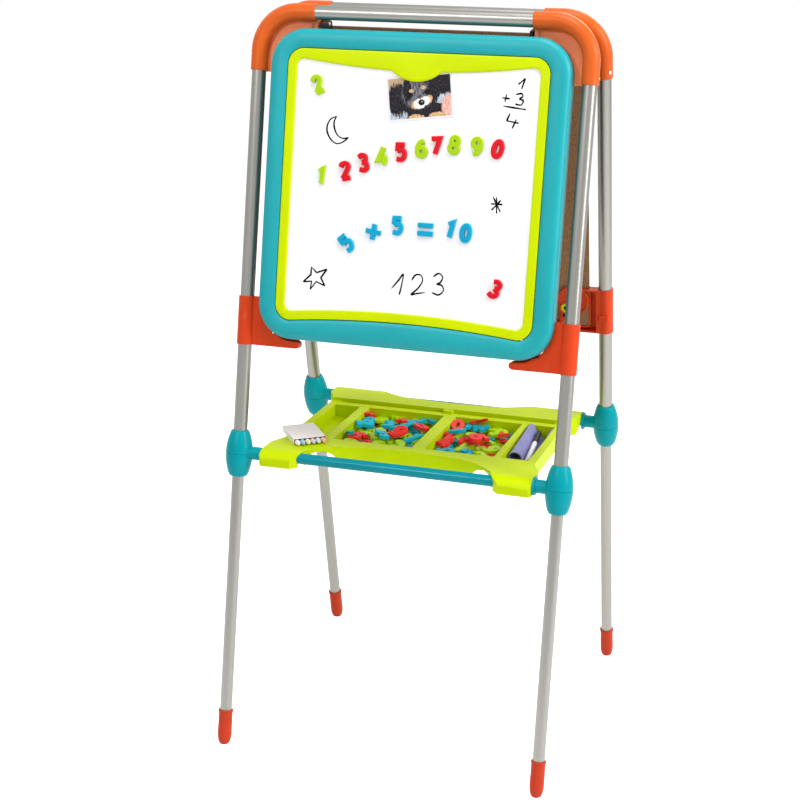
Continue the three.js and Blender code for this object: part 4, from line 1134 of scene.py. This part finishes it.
# The heap in the two middle wells: what each is, its colour, x, y, its layer and its turn.
HEAP = (
    ("4", "red", -139, 76, 2, 30), ("8", "green", -116, 74, 1, -20), ("5", "green", -86, 88, 1, 40),
    ("+", "red", -67, 66, 2, 20), ("0", "green", -42, 92, 1, 80), ("7", "blue", -20, 80, 2, 70),
    ("8", "blue", -129, 44, 2, 0), ("3", "blue", -90, 42, 2, 10), ("4", "blue", -45, 53, 2, -60),
    ("0", "red", -24, 38, 2, 50), ("1", "blue", -122, 14, 2, 100), ("6", "green", -94, 8, 1, 20),
    ("2", "blue", -62, 26, 2, -30), ("2", "green", -100, -18, 1, 60), ("7", "blue", -134, -37, 2, 40),
    ("6", "red", -118, -40, 2, -50), ("5", "blue", -77, -25, 2, 30), ("9", "red", -52, -12, 3, -40),
    ("1", "blue", -21, -28, 2, -50), ("3", "green", -38, -50, 1, 10), ("9", "green", -60, 0, 1, 90),
    ("5", "green", -80, -60, 1, -40), ("0", "green", -118, -70, 1, 60),
    ("0", "red", 37, 64, 2, 10), ("4", "blue", 57, 76, 2, 40), ("1", "red", 72, 84, 3, 85),
    ("2", "green", 100, 88, 1, -10), ("+", "blue", 80, 66, 2, 30), ("0", "blue", 47, 22, 3, 70),
    ("7", "red", 36, 2, 2, 10), ("4", "red", 42, -28, 2, -20), ("8", "green", 74, 40, 1, 60),
    ("3", "red", 78, -4, 2, 100), ("6", "red", 94, 4, 3, -70), ("1", "green", 108, 16, 1, 60),
    ("7", "red", 126, 46, 2, -150), ("1", "red", 98, -34, 3, 40), ("5", "blue", 50, -56, 1, 80),
    ("4", "green", 76, -34, 1, 20), ("9", "green", 124, -22, 1, -60), ("2", "blue", 92, -58, 1, 30),
    ("6", "green", 112, 66, 1, 130), ("3", "green", 118, -62, 1, 40))


def heap():
    """Figures lying in the wells: a hidden layer at random over a 28 by 29 mm grid, then the
    heap. Those in a higher layer lean on the ones below."""
    chance = np.random.default_rng(7)
    forms = {colour: Form("tray") for colour in MAGNETS}
    words, colours = list("023456789"), list(MAGNETS)
    below = [(str(chance.choice(words)), str(chance.choice(colours, p=BELOW)),
              left + 28 * i + chance.uniform(-5, 5), -74 + 29 * j + chance.uniform(-6, 6), 0,
              chance.uniform(0, 360))
             for left, columns in ((-122, 5), (46, 4)) for i in range(columns) for j in range(6)]
    for text, colour, x, y, layer, turn in [*below, *HEAP]:
        lean = chance.uniform(-0.12, 0.12, 2) * layer
        low = TRAY_FLOOR + 0.2 + LAYER * layer + HALF_FIGURE * np.abs(lean).sum()
        place = carried((x, y, low), (1, 0, lean[0]), (0, 1, lean[1]), (0, 0, 1))
        figure(forms[colour], text, turn, place, 1.16 if layer else 1.0)
    for colour, form in forms.items():
        # the heap's lighter colours are painted light
        form.build(f"tray_magnets_{colour}", TRAY_MAGNETS_PAINTED_LIGHT[colour])


# ---- stage
def stage():
    """A pale floor under a white surround. The camera and mirror-like surfaces see white; all
    else is lit by the world's plain level and the soft lamps."""
    scene = bpy.context.scene
    scene.view_settings.view_transform = "Standard"
    scene.world = bpy.data.worlds.new("studio")
    scene.world.use_nodes = True
    sky = Tree(scene.world.node_tree)
    strength = sky.node("ShaderNodeMapRange", {}, {"Value": sky.seen(), "To Min": AMBIENT})
    background = sky.nodes["Background"].inputs
    sky.put(background["Color"], (1, 1, 1))
    sky.put(background["Strength"], strength)

    p = Paint("pale floor", Specular_IOR_Level=0.0, Emission_Strength=0.68)
    cloud = p.noise(1.5, 3)
    base = p.mix(cloud, (0.9, 0.9, 0.9), (0.94, 0.94, 0.94))
    glow = p.mix(p.seen(), (0, 0, 0), (1, 1, 1))
    p.finish(base, 0.75 + 0.1 * cloud, Emission_Color=glow)
    reach = 12000
    floor = Form(None).grid([[[-reach, -reach, 0], [reach, -reach, 0]],
                             [[-reach, reach, 0], [reach, reach, 0]]])
    floor.build("floor", p.material)

    for name, azimuth, elevation, distance, power, size in LAMPS:
        light = bpy.data.lights.new(name, "AREA")
        light.energy, light.size = power, size
        away = direction(azimuth, elevation)
        aim(linked(name, light), away * distance + LAMP_TARGET, away)


tubes()
elbows()
screws()
board()
dress_cad()
brackets()
drawings()
board_magnets()
card()
tray()
chalks()
pen()
cloth()
heap()
stage()
